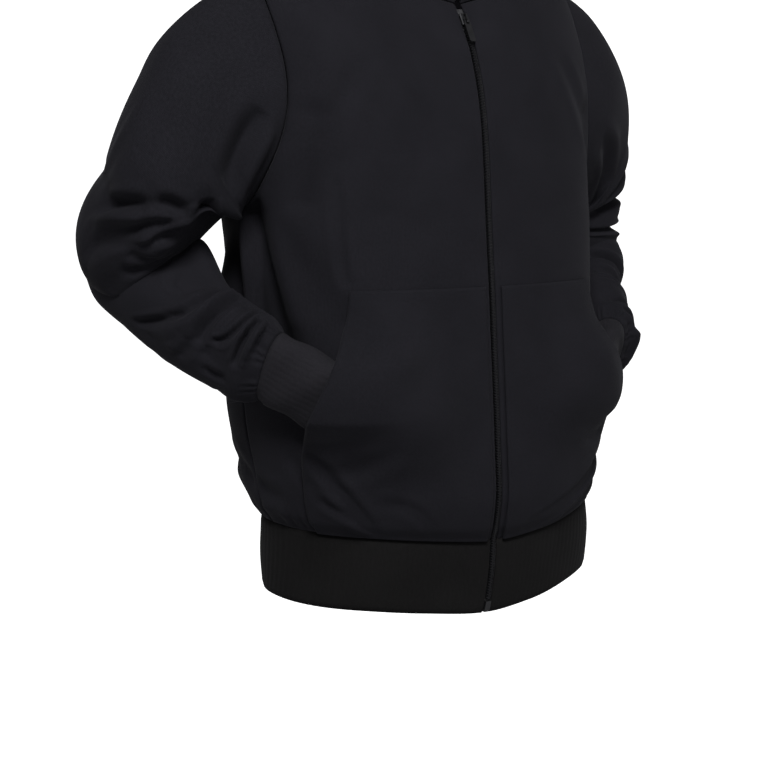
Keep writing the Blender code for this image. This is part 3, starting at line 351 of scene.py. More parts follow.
def holeTurn(height):
    # armhole: half turn x sin(pi t) ^ roundness between armpit and shoulder point
    t = (height - body["armpit"]) / (body["shoulderPoint"] - body["armpit"])
    return body["holeHalfTurn"] * np.sin(math.pi * np.clip(t, 0, 1)) ** body["holeRoundness"]


def sideTurns(level):
    hole = holeTurn(sideHeight(level))
    return 1 - hole, 1 + hole


spots = np.linspace(body["liftStart"], body["neckFront"], 400)
armpitLevel = float(np.interp(body["armpit"], sideHeight(spots), spots))
shoulderLevel = float(np.interp(body["shoulderPoint"], sideHeight(spots), spots))


class Value:
    # a socket in a node tree, with sums and products that add Math nodes
    def __init__(self, tree, socket):
        self.tree = tree
        self.socket = socket

    def maths(self, operation, *others):
        return self.make("ShaderNodeMath", {"operation": operation}, (self,) + others)

    def make(self, kind, settings, inputs, output=0):
        return makeNode(self.tree, kind, settings, inputs, output)

    def split(self):
        parts = self.make("ShaderNodeSeparateXYZ", {}, (self,)).socket.node
        return [Value(self.tree, socket) for socket in parts.outputs]

    def ranged(self, low, high):
        # 0 at the low value and 1 at the high one
        return self.make("ShaderNodeMapRange", {}, {0: self, 1: low, 2: high, 3: 0.0, 4: 1.0})

    def feeds(self, socket):
        self.tree.links.new(self.socket, socket)

    def __add__(self, other):
        return self.maths("ADD", other)

    def __sub__(self, other):
        return self.maths("SUBTRACT", other)

    def __rsub__(self, other):
        return self.make("ShaderNodeMath", {"operation": "SUBTRACT"}, (other, self))

    def __mul__(self, other):
        return self.maths("MULTIPLY", other)

    __radd__ = __add__
    __rmul__ = __mul__


def makeNode(tree, kind, settings, inputs, output=0):
    node = tree.nodes.new(kind)
    for name, setting in settings.items():
        setattr(node, name, setting)
    pairs = inputs.items() if isinstance(inputs, dict) else enumerate(inputs)
    for key, given in pairs:
        if isinstance(given, Value):
            tree.links.new(given.socket, node.inputs[key])
        else:
            node.inputs[key].default_value = given
    return Value(tree, node.outputs[output])


def mixColours(tree, factor, first, second):
    first, second = (c if isinstance(c, Value) else (*c, 1) for c in (first, second))
    inputs = {0: factor, 6: first, 7: second}
    return makeNode(tree, "ShaderNodeMix", {"data_type": "RGBA"}, inputs, 2)


def mixInto(shader, factor, dark, light):
    mixColours(factor.tree, factor, dark, light).feeds(shader.inputs["Base Color"])


def newMaterial(name, constants):
    material = bpy.data.materials.new(name)
    material.use_nodes = True
    shader = material.node_tree.nodes["Principled BSDF"]
    for key, constant in constants.items():
        shader.inputs[key].default_value = constant
    return material, material.node_tree, shader


def onObject(tree):
    return makeNode(tree, "ShaderNodeTexCoord", {}, {}, 3)


def noise(vector, scale, detail, roughness=0.5):
    inputs = {"Vector": vector, "Scale": scale, "Detail": detail, "Roughness": roughness}
    return vector.make("ShaderNodeTexNoise", {}, inputs)


def bumpTo(shader, height, strength, distance):
    inputs = {"Strength": strength, "Distance": distance, "Height": height}
    height.make("ShaderNodeBump", {}, inputs).feeds(shader.inputs["Normal"])


yarn = {
    "specular": 0.04,
    "sheenRoughness": 0.45,
    "slant": 2.2,
    "haze": (900, 3.0, 0.6),
    "patch": (14, 3.0, 0.55),
    "fleck": (420, 2.0),
    "fleckShare": 0.55,
    "patchShare": 0.45,
    "toneRange": (0.30, 0.70),
    "columnRelief": 0.5,
    "loopRelief": 0.18,
    "hazeRelief": 0.6,
    "depth": 0.0006,
}


def knitMaterial(name, dark, light, knit):
    # knit face: V columns = |sin(across)| + slanted sin(up), with a brushed haze over it
    constants = {
        "Roughness": knit["roughness"],
        "Specular IOR Level": yarn["specular"],
        "Sheen Weight": knit["sheen"],
        "Sheen Roughness": yarn["sheenRoughness"],
        "Sheen Tint": (*knit["tint"], 1),
    }
    material, tree, shader = newMaterial(name, constants)
    uv = makeNode(tree, "ShaderNodeUVMap", {"uv_map": "cloth"}, {})
    across, up, _ = uv.split()
    column = (across * (math.pi / knit["wale"])).maths("SINE").maths("ABSOLUTE")
    loops = (up * (2 * math.pi / knit["course"]) + column * yarn["slant"]).maths("SINE")
    haze, patch, fleck = (noise(uv, *yarn[key]) for key in ("haze", "patch", "fleck"))
    tone = fleck * yarn["fleckShare"] + patch * yarn["patchShare"]
    mixInto(shader, tone.ranged(*yarn["toneRange"]), dark, light)
    relief = column * yarn["columnRelief"] + loops * yarn["loopRelief"] + haze * yarn["hazeRelief"]
    bumpTo(shader, relief, knit["bump"], yarn["depth"])
    return material


knits = {
    "fleece": {
        "wale": 0.0013,
        "course": 0.0010,
        "roughness": 0.92,
        "sheen": 0.012,
        "tint": (0.75, 0.75, 0.85),
        "bump": 0.35,
    },
    "rib": {
        "wale": 0.0016,
        "course": 0.0011,
        "roughness": 0.94,
        "sheen": 0.010,
        "tint": (0.80, 0.80, 0.85),
        "bump": 0.30,
    },
    "fleeceColours": ((0.0040, 0.0039, 0.0050), (0.0068, 0.0066, 0.0084)),
    # hem band: the rib's colours darkened, painted shade under the low band
    "hemShadedColours": ((0.0026, 0.0025, 0.0025), (0.0048, 0.0046, 0.0047)),
    # cuffs: the same rib's colours lightened, painted light on the cuffs
    "cuffLitColours": ((0.0058, 0.0056, 0.0068), (0.0098, 0.0094, 0.0112)),
}
fleece = knitMaterial("fleece", *knits["fleeceColours"], knits["fleece"])
# the rib knit in two copies: a painted-shade copy for the hem and a painted-light copy for the
# cuffs
hemRibPaintedShade = knitMaterial("hem_rib_painted_shade", *knits["hemShadedColours"], knits["rib"])
cuffRibPaintedLight = knitMaterial("cuff_rib_painted_light", *knits["cuffLitColours"], knits["rib"])


trims = {
    "tape": {
        "look": {"Roughness": 0.8, "Specular IOR Level": 0.2},
        "mottle": (300, 2.0),
        "weave": 5200,
        "bump": (0.4, 0.0003),
    },
    "paint": {
        "look": {"Metallic": 0.85, "Specular IOR Level": 0.5},
        "mottle": (260, 4.0, 0.6),
        "wander": 0.22,
        "pits": (1800, 2.0),
        "bump": (0.12, 0.0002),
    },
    "thread": {
        "look": {"Roughness": 0.9, "Specular IOR Level": 0.05},
        "mottle": (700, 2.0),
        "fuzz": (2400, 1.0),
        "bump": (0.3, 0.0002),
    },
}


def tapeMaterial(dark, light):
    # woven tape: herringbone = sin(across + up) x sin(across - up)
    trim = trims["tape"]
    material, tree, shader = newMaterial("tape", trim["look"])
    place = onObject(tree)
    weave = trim["weave"]
    across, _, up = place.split()
    rise = ((across + up) * weave).maths("SINE") * ((across - up) * weave).maths("SINE")
    mixInto(shader, noise(place, *trim["mottle"]), dark, light)
    bumpTo(shader, rise, *trim["bump"])
    return material


def metalMaterial(name, dark, light, roughness):
    # painted metal: fine pits, and roughness that wanders a little
    trim = trims["paint"]
    material, tree, shader = newMaterial(name, trim["look"])
    place = onObject(tree)
    tone = noise(place, *trim["mottle"])
    mixInto(shader, tone, dark, light)
    (tone * trim["wander"] + roughness).feeds(shader.inputs["Roughness"])
    bumpTo(shader, noise(place, *trim["pits"]), *trim["bump"])
    return material


def threadMaterial(dark, light):
    trim = trims["thread"]
    material, tree, shader = newMaterial("thread", trim["look"])
    place = onObject(tree)
    mixInto(shader, noise(place, *trim["mottle"]), dark, light)
    bumpTo(shader, noise(place, *trim["fuzz"]), *trim["bump"])
    return material


tape = tapeMaterial((0.012, 0.012, 0.013), (0.022, 0.022, 0.024))
metal = metalMaterial("metal", (0.010, 0.010, 0.011), (0.024, 0.024, 0.026), 0.38)
teethFinish = metalMaterial("teeth", (0.006, 0.006, 0.007), (0.014, 0.014, 0.016), 0.42)
thread = threadMaterial((0.0030, 0.0030, 0.0034), (0.0080, 0.0080, 0.0092))
print("materials made")


def meshObject(name, points, faces, material, uv=None):
    mesh = bpy.data.meshes.new(name)
    mesh.from_pydata(points.tolist(), [], faces)
    mesh.validate()
    mesh.shade_smooth()
    mesh.materials.append(material)
    if uv is not None:
        layer = mesh.uv_layers.new(name="cloth")
        corner = np.empty(len(mesh.loops), np.int32)
        mesh.loops.foreach_get("vertex_index", corner)
        layer.data.foreach_set("uv", uv[corner].astype(np.float32).ravel())
    made = bpy.data.objects.new(name, mesh)
    bpy.context.scene.collection.objects.link(made)
    return made


def quads(index, closed):
    if closed:
        index = np.concatenate([index, index[:, :1]], axis=1)
    return np.stack(
        [index[:-1, :-1], index[:-1, 1:], index[1:, 1:], index[1:, :-1]], axis=-1
    ).reshape(-1, 4)


def rimFaces(outer, inner, flip):
    # two outer steps meet one inner step: three triangles
    a, b, c = outer[:-1:2], outer[1::2], outer[2::2]
    p, q = inner[:-1], inner[1:]
    faces = np.concatenate(
        [np.stack([a, p, b], -1), np.stack([b, q, c], -1), np.stack([b, p, q], -1)]
    )
    return faces[:, ::-1] if flip else faces


def shell(name, outer, normals, wall, closed, material, sign=1):
    # outer face at full detail, inner face at half, rims between them
    rows, columns = outer.shape[:2]
    inner = (outer - wall * normals)[::2, ::2]
    outerIndex = np.arange(rows * columns).reshape(rows, columns)
    innerIndex = rows * columns + np.arange(inner.shape[0] * inner.shape[1])
    innerIndex = innerIndex.reshape(inner.shape[:2])
    flip = sign < 0
    face = quads(outerIndex, closed)
    back = quads(innerIndex, closed)[:, ::-1]
    if flip:
        face = face[:, ::-1]
        back = back[:, ::-1]
    faces = face.tolist() + back.tolist()
    for row in (0, -1):
        lineOut = outerIndex[row]
        lineIn = innerIndex[row]
        if closed:
            lineOut = np.append(lineOut, lineOut[0])
            lineIn = np.append(lineIn, lineIn[0])
        faces += rimFaces(lineOut, lineIn, (row == -1) != flip).tolist()
    if not closed:
        for column in (0, -1):
            lines = outerIndex[:, column], innerIndex[:, column]
            faces += rimFaces(*lines, (column == 0) != flip).tolist()
    across = np.linalg.norm(np.diff(outer, axis=1), axis=2).mean(axis=0)
    along = np.linalg.norm(np.diff(outer, axis=0), axis=2).mean(axis=1)
    u = np.append(0, np.cumsum(across))[:columns]
    v = np.append(0, np.cumsum(along))
    uv = np.stack(np.meshgrid(u, v), axis=-1)
    uv = np.concatenate([uv.reshape(-1, 2), uv[::2, ::2].reshape(-1, 2)])
    points = np.concatenate([outer.reshape(-1, 3), inner.reshape(-1, 3)])
    return meshObject(name, points, faces, material, uv)


def edgeRoll(distance, radius, depth):
    # quarter round: depth x (1 - sqrt(1 - (1 - d / r) squared))
    t = np.clip(distance / radius, 0, 1)
    return -depth * (1 - np.sqrt(np.maximum(1 - (1 - t) ** 2, 0)))


def rolledEdges(distances, roll):
    return sum(edgeRoll(distance, *roll) for distance in distances)


def edgeDistances(grid):
    # distance of every point from the grid's low and high column edges, then rows
    across = np.linalg.norm(np.diff(grid, axis=1), axis=2)
    along = np.linalg.norm(np.diff(grid, axis=0), axis=2)
    fromLeft = np.concatenate([np.zeros((len(grid), 1)), np.cumsum(across, axis=1)], axis=1)
    fromLow = np.concatenate([np.zeros((1, grid.shape[1])), np.cumsum(along, axis=0)])
    return fromLeft, fromLeft[:, -1:] - fromLeft, fromLow, fromLow[-1:] - fromLow


def lineOnGrid(grid, normals, edge, distance, start, end):
    # points that lie a set distance in from an edge of the grid, with their normals
    distances = dict(zip(("left", "right", "low", "high"), edgeDistances(grid)))[edge]
    if edge in ("low", "high"):
        distances = distances.T
        grid = grid.transpose(1, 0, 2)
        normals = normals.transpose(1, 0, 2)
    if edge in ("right", "high"):
        distances = distances[:, ::-1]
        grid = grid[:, ::-1]
        normals = normals[:, ::-1]
    low = int(start * (len(grid) - 1))
    high = int(end * (len(grid) - 1)) + 1
    places = []
    for run, points, ways in zip(distances[low:high], grid[low:high], normals[low:high]):
        places.append(readAlong(run, np.concatenate([points, ways], axis=1), distance))
    places = np.array(places)
    return places[:, :3], unit(places[:, 3:])


seamThreads = {"points": [], "faces": [], "count": 0}
sewing = {
    "pitch": 0.0034,
    "length": 0.0024,
    "radius": 0.00024,
    "sink": 0.0001,
    "sides": 5,
    "rings": ((-0.5, 0.35, -1), (-0.2, 1, 0.2), (0.2, 1, 0.2), (0.5, 0.35, -1)),
    "zipInset": 0.01,
    "seamInset": 0.004,
    "doubleInsets": (0.0035, 0.01),
    "mouthInset": 0.0035,
    "pocketInset": 0.003,
    "hoodHem": 0.02,
}


def stitch(cloth, edge, inset, start=0.0, end=1.0):
    # a spindle of four five-sided rings for each stitch, in a row beside the cloth's edge
    line, normals = lineOnGrid(*cloth, edge, inset, start, end)
    run = lengths(line)
    pitch = sewing["pitch"]
    radius = sewing["radius"]
    starts = np.arange(pitch / 2, run[-1] - pitch, pitch)
    if not len(starts):
        return
    middle = readAlong(run, line, starts)
    after = readAlong(run, line, starts + pitch / 3)
    way = unit(after - readAlong(run, line, starts - pitch / 3))
    away = unit(readAlong(run, normals, starts))
    side = unit(np.cross(way, away))
    sides = sewing["sides"]
    angle = np.arange(sides) * 2 * math.pi / sides
    ring = np.cos(angle)[None, :, None] * side[:, None]
    ring = ring + np.sin(angle)[None, :, None] * away[:, None]
    rings = []
    for shift, size, drop in sewing["rings"]:
        centre = middle + shift * sewing["length"] * way
        centre = centre + (drop * radius - sewing["sink"]) * away
        rings.append(centre[:, None] + size * radius * ring)
    corners = len(rings) * sides
    base = seamThreads["count"] + corners * np.arange(len(starts))
    cell = quads(np.arange(corners).reshape(len(rings), sides), True)
    faces = cell[None] + base[:, None, None]
    seamThreads["points"].append(np.stack(rings, axis=1).reshape(-1, 3))
    seamThreads["faces"] += faces.reshape(-1, 4).tolist()
    seamThreads["count"] += corners * len(starts)


def finishPiece(made, node):
    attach(made, "garment")
    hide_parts(node)


def panel(side, columns, fromZip):
    # body surface between two seams, with gathers over the band and rolled seam edges
    level = np.linspace(body["bandTop"], body["neckFront"], body["rows"] + 1)
    front, back = sideTurns(level)
    share = np.linspace(0, 1, columns + 1)[None, :]
    if fromZip:
        near = zipTurn(level, body["zipHalfGap"])
        turn = side * (near[:, None] + (front - near)[:, None] * share)
    else:
        turn = back[:, None] + (4 - 2 * back)[:, None] * share
    wrapped = np.where(turn > 2, 4 - turn, turn)
    height = lifted(wrapped, level[:, None])
    grid = bodySurface(turn, height)
    normals = gridNormals(grid, False, side)
    rise = creaseSum(turn, height, body["creases"], body["turnLength"], roundBody)
    rise = rise + foldSum(turn, height, body["troughs"], body["turnLength"], roundBody)
    aboveSeam = height - body["gatherHeight"]
    low = ease(aboveSeam / body["endFade"])
    top = ease((neckHeight(wrapped) - height) / body["endFade"])
    waves, swing, beat = body["gatherWaves"]
    gather = body["gather"] * np.sin(turn * waves + swing * np.sin(turn * beat))
    gather = gather * np.exp(-((aboveSeam / body["gatherFade"]) ** 2))
    gather = gather * ease((height - body["gatherStart"]) / body["gatherEase"])
    left, right, bottom, upper = edgeDistances(grid)
    free = ease(left / body["seamFade"]) * ease(right / body["seamFade"])
    rise = (rise * low * top + gather) * free
    rise = rise + rolledEdges((left, right, bottom, upper), edges["seam"])
    hole = ease((height - body["armpit"]) / body["endFade"])
    sewn = (right,) if fromZip else (left, right)
    rise = rise + hole * rolledEdges(sewn, edges["armhole"])
    grid = grid + rise[..., None] * normals
    return grid, gridNormals(grid, False, side), side


for name, side in (("front_right", -1), ("front_left", 1)):
    *cloth, sign = panel(side, body["frontColumns"], True)
    made = shell(name + "_cloth", *cloth, clothWall, False, fleece, sign)
    finishPiece(made, name)
    stitch(cloth, "left", sewing["zipInset"])
    stitch(cloth, "low", sewing["seamInset"])

*cloth, sign = panel(1, body["backColumns"], False)
made = shell("back_cloth", *cloth, clothWall, False, fleece, sign)
finishPiece(made, "back")
stitch(cloth, "low", sewing["seamInset"])
print("body panels made")

band = {
    "ribs": 132,
    "perRib": 8,
    "rows": 12,
    "rise": 0.0003,
    "sharpness": 0.7,
    "edgeShare": 0.45,
    "edgeFade": 0.006,
    "slack": 0.0016,
    "slackWaves": 9.0,
    "slackStart": 1.2,
    "sideFade": 0.003,
    "roll": (0.002, 0.001),
    "wall": 0.0024,
}


def hemBand():
    # rib = rise x (0.5 - 0.5 cos(turns)) ^ sharpness, flat at the top seam
    rows = np.linspace(0, body["bandTop"], band["rows"] + 1)[:, None]
    columns = band["ribs"] * band["perRib"]
    share = np.linspace(0, 1, columns + 1)[None, :]
    edge = zipTurn(rows, body["zipHalfGap"])
    turn = edge + (4 - 2 * edge) * share
    grid = bodySurface(turn, rows)
    normals = gridNormals(grid, False, 1)
    wave = (0.5 - 0.5 * np.cos(2 * math.pi * band["ribs"] * share)) ** band["sharpness"]
    least = band["edgeShare"]
    fade = ease((body["bandTop"] - rows) / band["edgeFade"])
    fade = fade * (least + (1 - least) * ease(rows / band["edgeFade"]))
    slack = band["slack"] * np.sin(turn * band["slackWaves"] + band["slackStart"])
    slack = slack * np.sin(rows / body["bandTop"] * math.pi)
    rise = band["rise"] * wave * fade + slack
    left, right, bottom, upper = edgeDistances(grid)
    rise = rise * ease(np.minimum(left, right) / band["sideFade"])
    rise = rise + rolledEdges((left, right, bottom, upper), band["roll"])
    grid = grid + rise[..., None] * normals
    return grid, gridNormals(grid, False, 1)


grid, normals = hemBand()
# the hem band wears the rib's painted-shade copy
made = shell("hem_band_knit", grid, normals, band["wall"], False, hemRibPaintedShade)
finishPiece(made, "hem_band")
print("hem band made")

farCreases = (  # on the hidden side of both sleeves
    (0.620, 0.420, 0.740, 0.470, 0.860, 0.455, 0.0070, -0.0030),
    (0.640, 0.500, 0.760, 0.520, 0.900, 0.500, 0.0060, -0.0030),
    (0.660, 0.900, 0.780, 0.915, 0.900, 0.890, 0.0050, -0.0035),
)
arms = {
    "right": {
        "side": -1,
        "rings": table(
            "along out back height lean halfSide halfFront",
            (0.00, 0.1980, 0.005, 0.5235, 90, 0.1185, 0.060),
            (0.07, 0.2270, 0.004, 0.5090, 79, 0.1090, 0.062),
            (0.15, 0.2460, 0.006, 0.4850, 65, 0.0990, 0.062),
            (0.24, 0.2570, 0.012, 0.4525, 51, 0.0870, 0.067),
            (0.34, 0.2720, 0.030, 0.4120, 33, 0.0700, 0.072),
            (0.44, 0.2900, 0.062, 0.3740, 18, 0.0550, 0.062),
            (0.54, 0.2780, 0.076, 0.3480, 5, 0.0530, 0.057),
            (0.65, 0.2660, 0.046, 0.3210, 0, 0.0520, 0.047),
            (0.77, 0.2570, -0.005, 0.2950, 0, 0.0470, 0.046),
            (0.88, 0.2400, -0.046, 0.2750, 0, 0.0360, 0.048),
            (0.96, 0.2255, -0.068, 0.2630, 0, 0.0300, 0.048),
            (1.00, 0.2150, -0.082, 0.2558, 0, 0.0225, 0.038),
        ),
        "folds": table(
            "fromTurn fromAlong toTurn toAlong width rise",
            (0.19, 0.285, 0.46, 0.375, 0.012, -0.0055),
            (0.22, 0.315, 0.44, 0.405, 0.010, 0.0030),
            (0.18, 0.325, 0.45, 0.435, 0.012, -0.0055),
            (0.16, 0.350, 0.36, 0.465, 0.012, -0.0040),
            (0.64, 0.400, 0.48, 0.455, 0.020, 0.0040),
            (0.66, 0.350, 0.90, 0.320, 0.015, -0.0045),
            (0.66, 0.570, 0.95, 0.640, 0.015, -0.0045),
            (0.54, 0.735, 0.20, 0.790, 0.014, -0.0045),
            (0.52, 0.800, 0.24, 0.835, 0.012, 0.0040),
            (0.50, 0.870, 0.22, 0.890, 0.011, -0.0050),
            (0.30, 0.950, 0.66, 0.955, 0.012, 0.0045),
            (0.72, 0.860, 0.98, 0.820, 0.014, -0.0040),
        ),
        "creases": table(
            "fromTurn fromAlong midTurn midAlong toTurn toAlong width rise",
            (0.458, 0.388, 0.400, 0.350, 0.342, 0.326, 0.0055, -0.0075),
            (0.317, 0.312, 0.287, 0.302, 0.256, 0.302, 0.0050, -0.0070),
            (0.222, 0.262, 0.208, 0.280, 0.202, 0.306, 0.0075, -0.0110),
            (0.487, 0.420, 0.346, 0.338, 0.262, 0.318, 0.0040, 0.0040),
            (0.446, 0.420, 0.346, 0.364, 0.272, 0.328, 0.0045, -0.0080),
            (0.450, 0.442, 0.383, 0.404, 0.325, 0.362, 0.0055, -0.0085),
            (0.462, 0.462, 0.338, 0.378, 0.258, 0.336, 0.0040, 0.0025),
            (0.300, 0.362, 0.254, 0.348, 0.180, 0.352, 0.0050, -0.0085),
            (0.320, 0.384, 0.240, 0.380, 0.140, 0.392, 0.0110, 0.0030),
            (0.330, 0.404, 0.280, 0.398, 0.220, 0.398, 0.0040, -0.0030),
            (0.325, 0.438, 0.263, 0.425, 0.192, 0.400, 0.0045, -0.0045),
            (0.540, 0.705, 0.480, 0.755, 0.400, 0.797, 0.0050, -0.0060),
            (0.440, 0.782, 0.320, 0.815, 0.160, 0.815, 0.0065, -0.0085),
            (0.560, 0.722, 0.430, 0.815, 0.240, 0.838, 0.0055, 0.0020),
            (0.475, 0.845, 0.380, 0.853, 0.200, 0.862, 0.0055, -0.0100),
            (0.450, 0.878, 0.380, 0.915, 0.205, 0.930, 0.0045, -0.0080),
            (0.487, 0.946, 0.404, 0.948, 0.300, 0.955, 0.0042, -0.0110),
            (0.450, 0.965, 0.380, 0.966, 0.300, 0.972, 0.0040, 0.0030),
            (0.440, 0.975, 0.360, 0.978, 0.290, 0.978, 0.0032, -0.0090),
            (0.554, 0.870, 0.560, 0.900, 0.552, 0.930, 0.0070, -0.0035),
            (0.558, 0.818, 0.510, 0.830, 0.467, 0.836, 0.0055, -0.0040),
            (0.300, 0.720, 0.340, 0.735, 0.330, 0.760, 0.0060, -0.0025),
            (0.346, 0.223, 0.380, 0.250, 0.400, 0.280, 0.0140, -0.0025),
            (0.446, 0.250, 0.487, 0.300, 0.550, 0.380, 0.0060, 0.0015),
            (0.252, 0.055, 0.210, 0.120, 0.186, 0.200, 0.0125, -0.0120),
            (0.200, 0.030, 0.150, 0.070, 0.130, 0.130, 0.0100, 0.0030),
            *farCreases,
            (0.620, 0.180, 0.700, 0.230, 0.800, 0.250, 0.0100, -0.0030),
            (0.640, 0.740, 0.760, 0.760, 0.900, 0.720, 0.0060, -0.0025),
            (0.640, 0.960, 0.740, 0.970, 0.860, 0.965, 0.0040, -0.0035),
        ),
        "lifts": table(
            "turn along halfTurn halfAlong rise",
            (0.130, 0.345, 0.085, 0.055, 0.037),
            (0.040, 0.215, 0.090, 0.080, 0.013),
            (0.950, 0.340, 0.100, 0.075, 0.029),
            (0.150, 0.440, 0.090, 0.080, 0.018),
            (0.160, 0.560, 0.090, 0.090, 0.016),
            (0.165, 0.690, 0.075, 0.050, 0.022),
        ),
        "cuffs": table(
            "out back height halfSide halfFront",
            (0.2056, -0.0935, 0.2480, 0.0215, 0.0385),
            (0.1925, -0.1115, 0.2375, 0.0210, 0.0390),
            (0.1810, -0.1240, 0.2290, 0.0205, 0.0395),
            (0.1715, -0.1325, 0.2235, 0.0200, 0.0395),
        ),
    },
    "left": {
        "side": 1,
        "rings": table(
            "along out back height lean halfSide halfFront",
            (0.00, 0.1980, 0.005, 0.5235, 90, 0.1185, 0.060),
            (0.07, 0.2270, 0.014, 0.5090, 80, 0.1090, 0.062),
            (0.15, 0.2390, 0.028, 0.4850, 68, 0.0975, 0.063),
            (0.24, 0.2470, 0.048, 0.4525, 53, 0.0840, 0.068),
            (0.34, 0.2570, 0.066, 0.4120, 34, 0.0710, 0.072),
            (0.44, 0.2670, 0.078, 0.3720, 17, 0.0630, 0.068),
            (0.54, 0.2700, 0.080, 0.3400, 5, 0.0600, 0.062),
            (0.65, 0.2640, 0.050, 0.3110, 0, 0.0530, 0.053),
            (0.77, 0.2510, 0.010, 0.2870, 0, 0.0420, 0.048),
            (0.88, 0.2380, -0.030, 0.2690, 0, 0.0330, 0.046),
            (0.96, 0.2290, -0.053, 0.2550, 0, 0.0290, 0.045),
            (1.00, 0.2180, -0.068, 0.2485, 0, 0.0200, 0.034),
        ),
        "folds": table(
            "fromTurn fromAlong toTurn toAlong width rise",
            (0.16, 0.340, 0.52, 0.350, 0.013, -0.0130),
            (0.20, 0.395, 0.50, 0.430, 0.014, -0.0035),
            (0.18, 0.625, 0.56, 0.640, 0.016, 0.0100),
            (0.20, 0.570, 0.50, 0.560, 0.014, -0.0040),
            (0.20, 0.765, 0.60, 0.750, 0.018, -0.0060),
            (0.66, 0.350, 0.92, 0.310, 0.015, -0.0045),
            (0.68, 0.580, 0.94, 0.640, 0.015, -0.0045),
            (0.45, 0.962, 0.80, 0.965, 0.012, 0.0080),
            (0.50, 0.900, 0.20, 0.915, 0.011, -0.0045),
        ),
        "creases": table(
            "fromTurn fromAlong midTurn midAlong toTurn toAlong width rise",
            (0.460, 0.385, 0.380, 0.350, 0.240, 0.335, 0.0055, -0.0090),
            (0.500, 0.300, 0.400, 0.290, 0.240, 0.300, 0.0060, -0.0045),
            (0.480, 0.470, 0.360, 0.440, 0.200, 0.400, 0.0060, -0.0090),
            (0.520, 0.600, 0.420, 0.590, 0.240, 0.610, 0.0055, -0.0085),
            (0.560, 0.690, 0.440, 0.680, 0.240, 0.700, 0.0055, -0.0090),
            (0.570, 0.730, 0.430, 0.725, 0.260, 0.740, 0.0050, 0.0030),
            (0.580, 0.800, 0.420, 0.820, 0.240, 0.810, 0.0055, -0.0090),
            (0.600, 0.880, 0.420, 0.900, 0.240, 0.920, 0.0045, -0.0055),
            (0.620, 0.940, 0.460, 0.950, 0.300, 0.965, 0.0040, -0.0060),
            (0.600, 0.980, 0.440, 0.982, 0.300, 0.985, 0.0032, -0.0040),
            (0.180, 0.060, 0.185, 0.130, 0.180, 0.230, 0.0110, -0.0070),
            *farCreases,
            (0.620, 0.200, 0.700, 0.240, 0.800, 0.260, 0.0100, -0.0030),
            (0.660, 0.760, 0.780, 0.780, 0.900, 0.740, 0.0060, -0.0025),
        ),
        "lifts": table(
            "turn along halfTurn halfAlong rise",
            (0.150, 0.420, 0.090, 0.080, 0.004),
        ),
        "cuffs": table(
            "out back height halfSide halfFront",
            (0.2070, -0.0790, 0.2415, 0.0165, 0.0345),
            (0.1955, -0.0915, 0.2345, 0.0145, 0.0345),
            (0.1825, -0.1040, 0.2285, 0.0130, 0.0345),
            (0.1715, -0.1145, 0.2240, 0.0125, 0.0345),
        ),
    },
    "square": 2.3,
    "length": 0.52,
    "girth": 0.46,
    "rows": 200,
    "columns": 190,
    "settled": 0.22,
    "uprightTo": 0.4,
    "uprightFade": 0.2,
    "slopeShare": 0.02,
    "startFade": 0.06,
    "endFade": 0.035,
    "gather": 0.001,
    "gatherWaves": (23, 2.4, 7),
    "gatherFade": 0.025,
    "gatherEase": 0.01,
    "margins": (0.0012, 0.001, 0.12),
    "seamGap": 0.0003,
    "armholeRoll": (0.008, 0.0008),
    "cuffRoll": (0.003, 0.0006),
    "tuck": 0.001,
}


def sleeveFrame(arm, along):
    rings = arm["rings"]
    side = arm["side"]

    def centreAt(place):
        out = read(rings, "along", "out", place)
        back = read(rings, "along", "back", place)
        return point(side * out, back, read(rings, "along", "height", place))

    centre = centreAt(along)
    ahead = arms["slopeShare"]
    forward = unit(centreAt(along + ahead) - centreAt(along - ahead))
    lean = np.radians(read(rings, "along", "lean", along))
    inward = np.stack([-side * np.cos(lean), 0 * lean, -np.sin(lean)], axis=-1)
    level = inward - (inward * forward).sum(-1, keepdims=True) * forward
    upright = ease((arms["uprightTo"] - along) / arms["uprightFade"])[..., None]
    inward = unit(inward * upright + unit(level) * (1 - upright))
    front = unit(side * -np.cross(forward, inward))
    halfSide = read(rings, "along", "halfSide", along)[..., None]
    halfFront = read(rings, "along", "halfFront", along)[..., None]
    return centre, inward * halfSide, front * halfFront


def roundedTurn(turn):
    # squarish round: radius = (|cos| ^ n + |sin| ^ n) ^ (-1 / n)
    cosine = np.cos(2 * math.pi * turn)
    sine = np.sin(2 * math.pi * turn)
    power = arms["square"]
    radius = (np.abs(cosine) ** power + np.abs(sine) ** power) ** (-1 / power)
    return radius * cosine, radius * sine


def armholeRing(side, turn):
    # up the front edge from the armpit, then down the back edge
    t = np.where(turn < 0.5, 2 * turn, 2 - 2 * turn)
    level = armpitLevel + (shoulderLevel - armpitLevel) * t
    front, back = sideTurns(level)
    edge = np.where(turn < 0.5, front, back)
    height = lifted(edge, level)
    away = bodyNormals(side * edge, height)
    away = away * np.sign(away[:, :1] * side)
    return bodySurface(side * edge, height), away


nearBody = {
    "turns": np.linspace(0.35, 1.75, 141),
    "heights": np.linspace(0.12, 0.52, 161),
    "reach": 0.235,
    "top": 0.50,
}


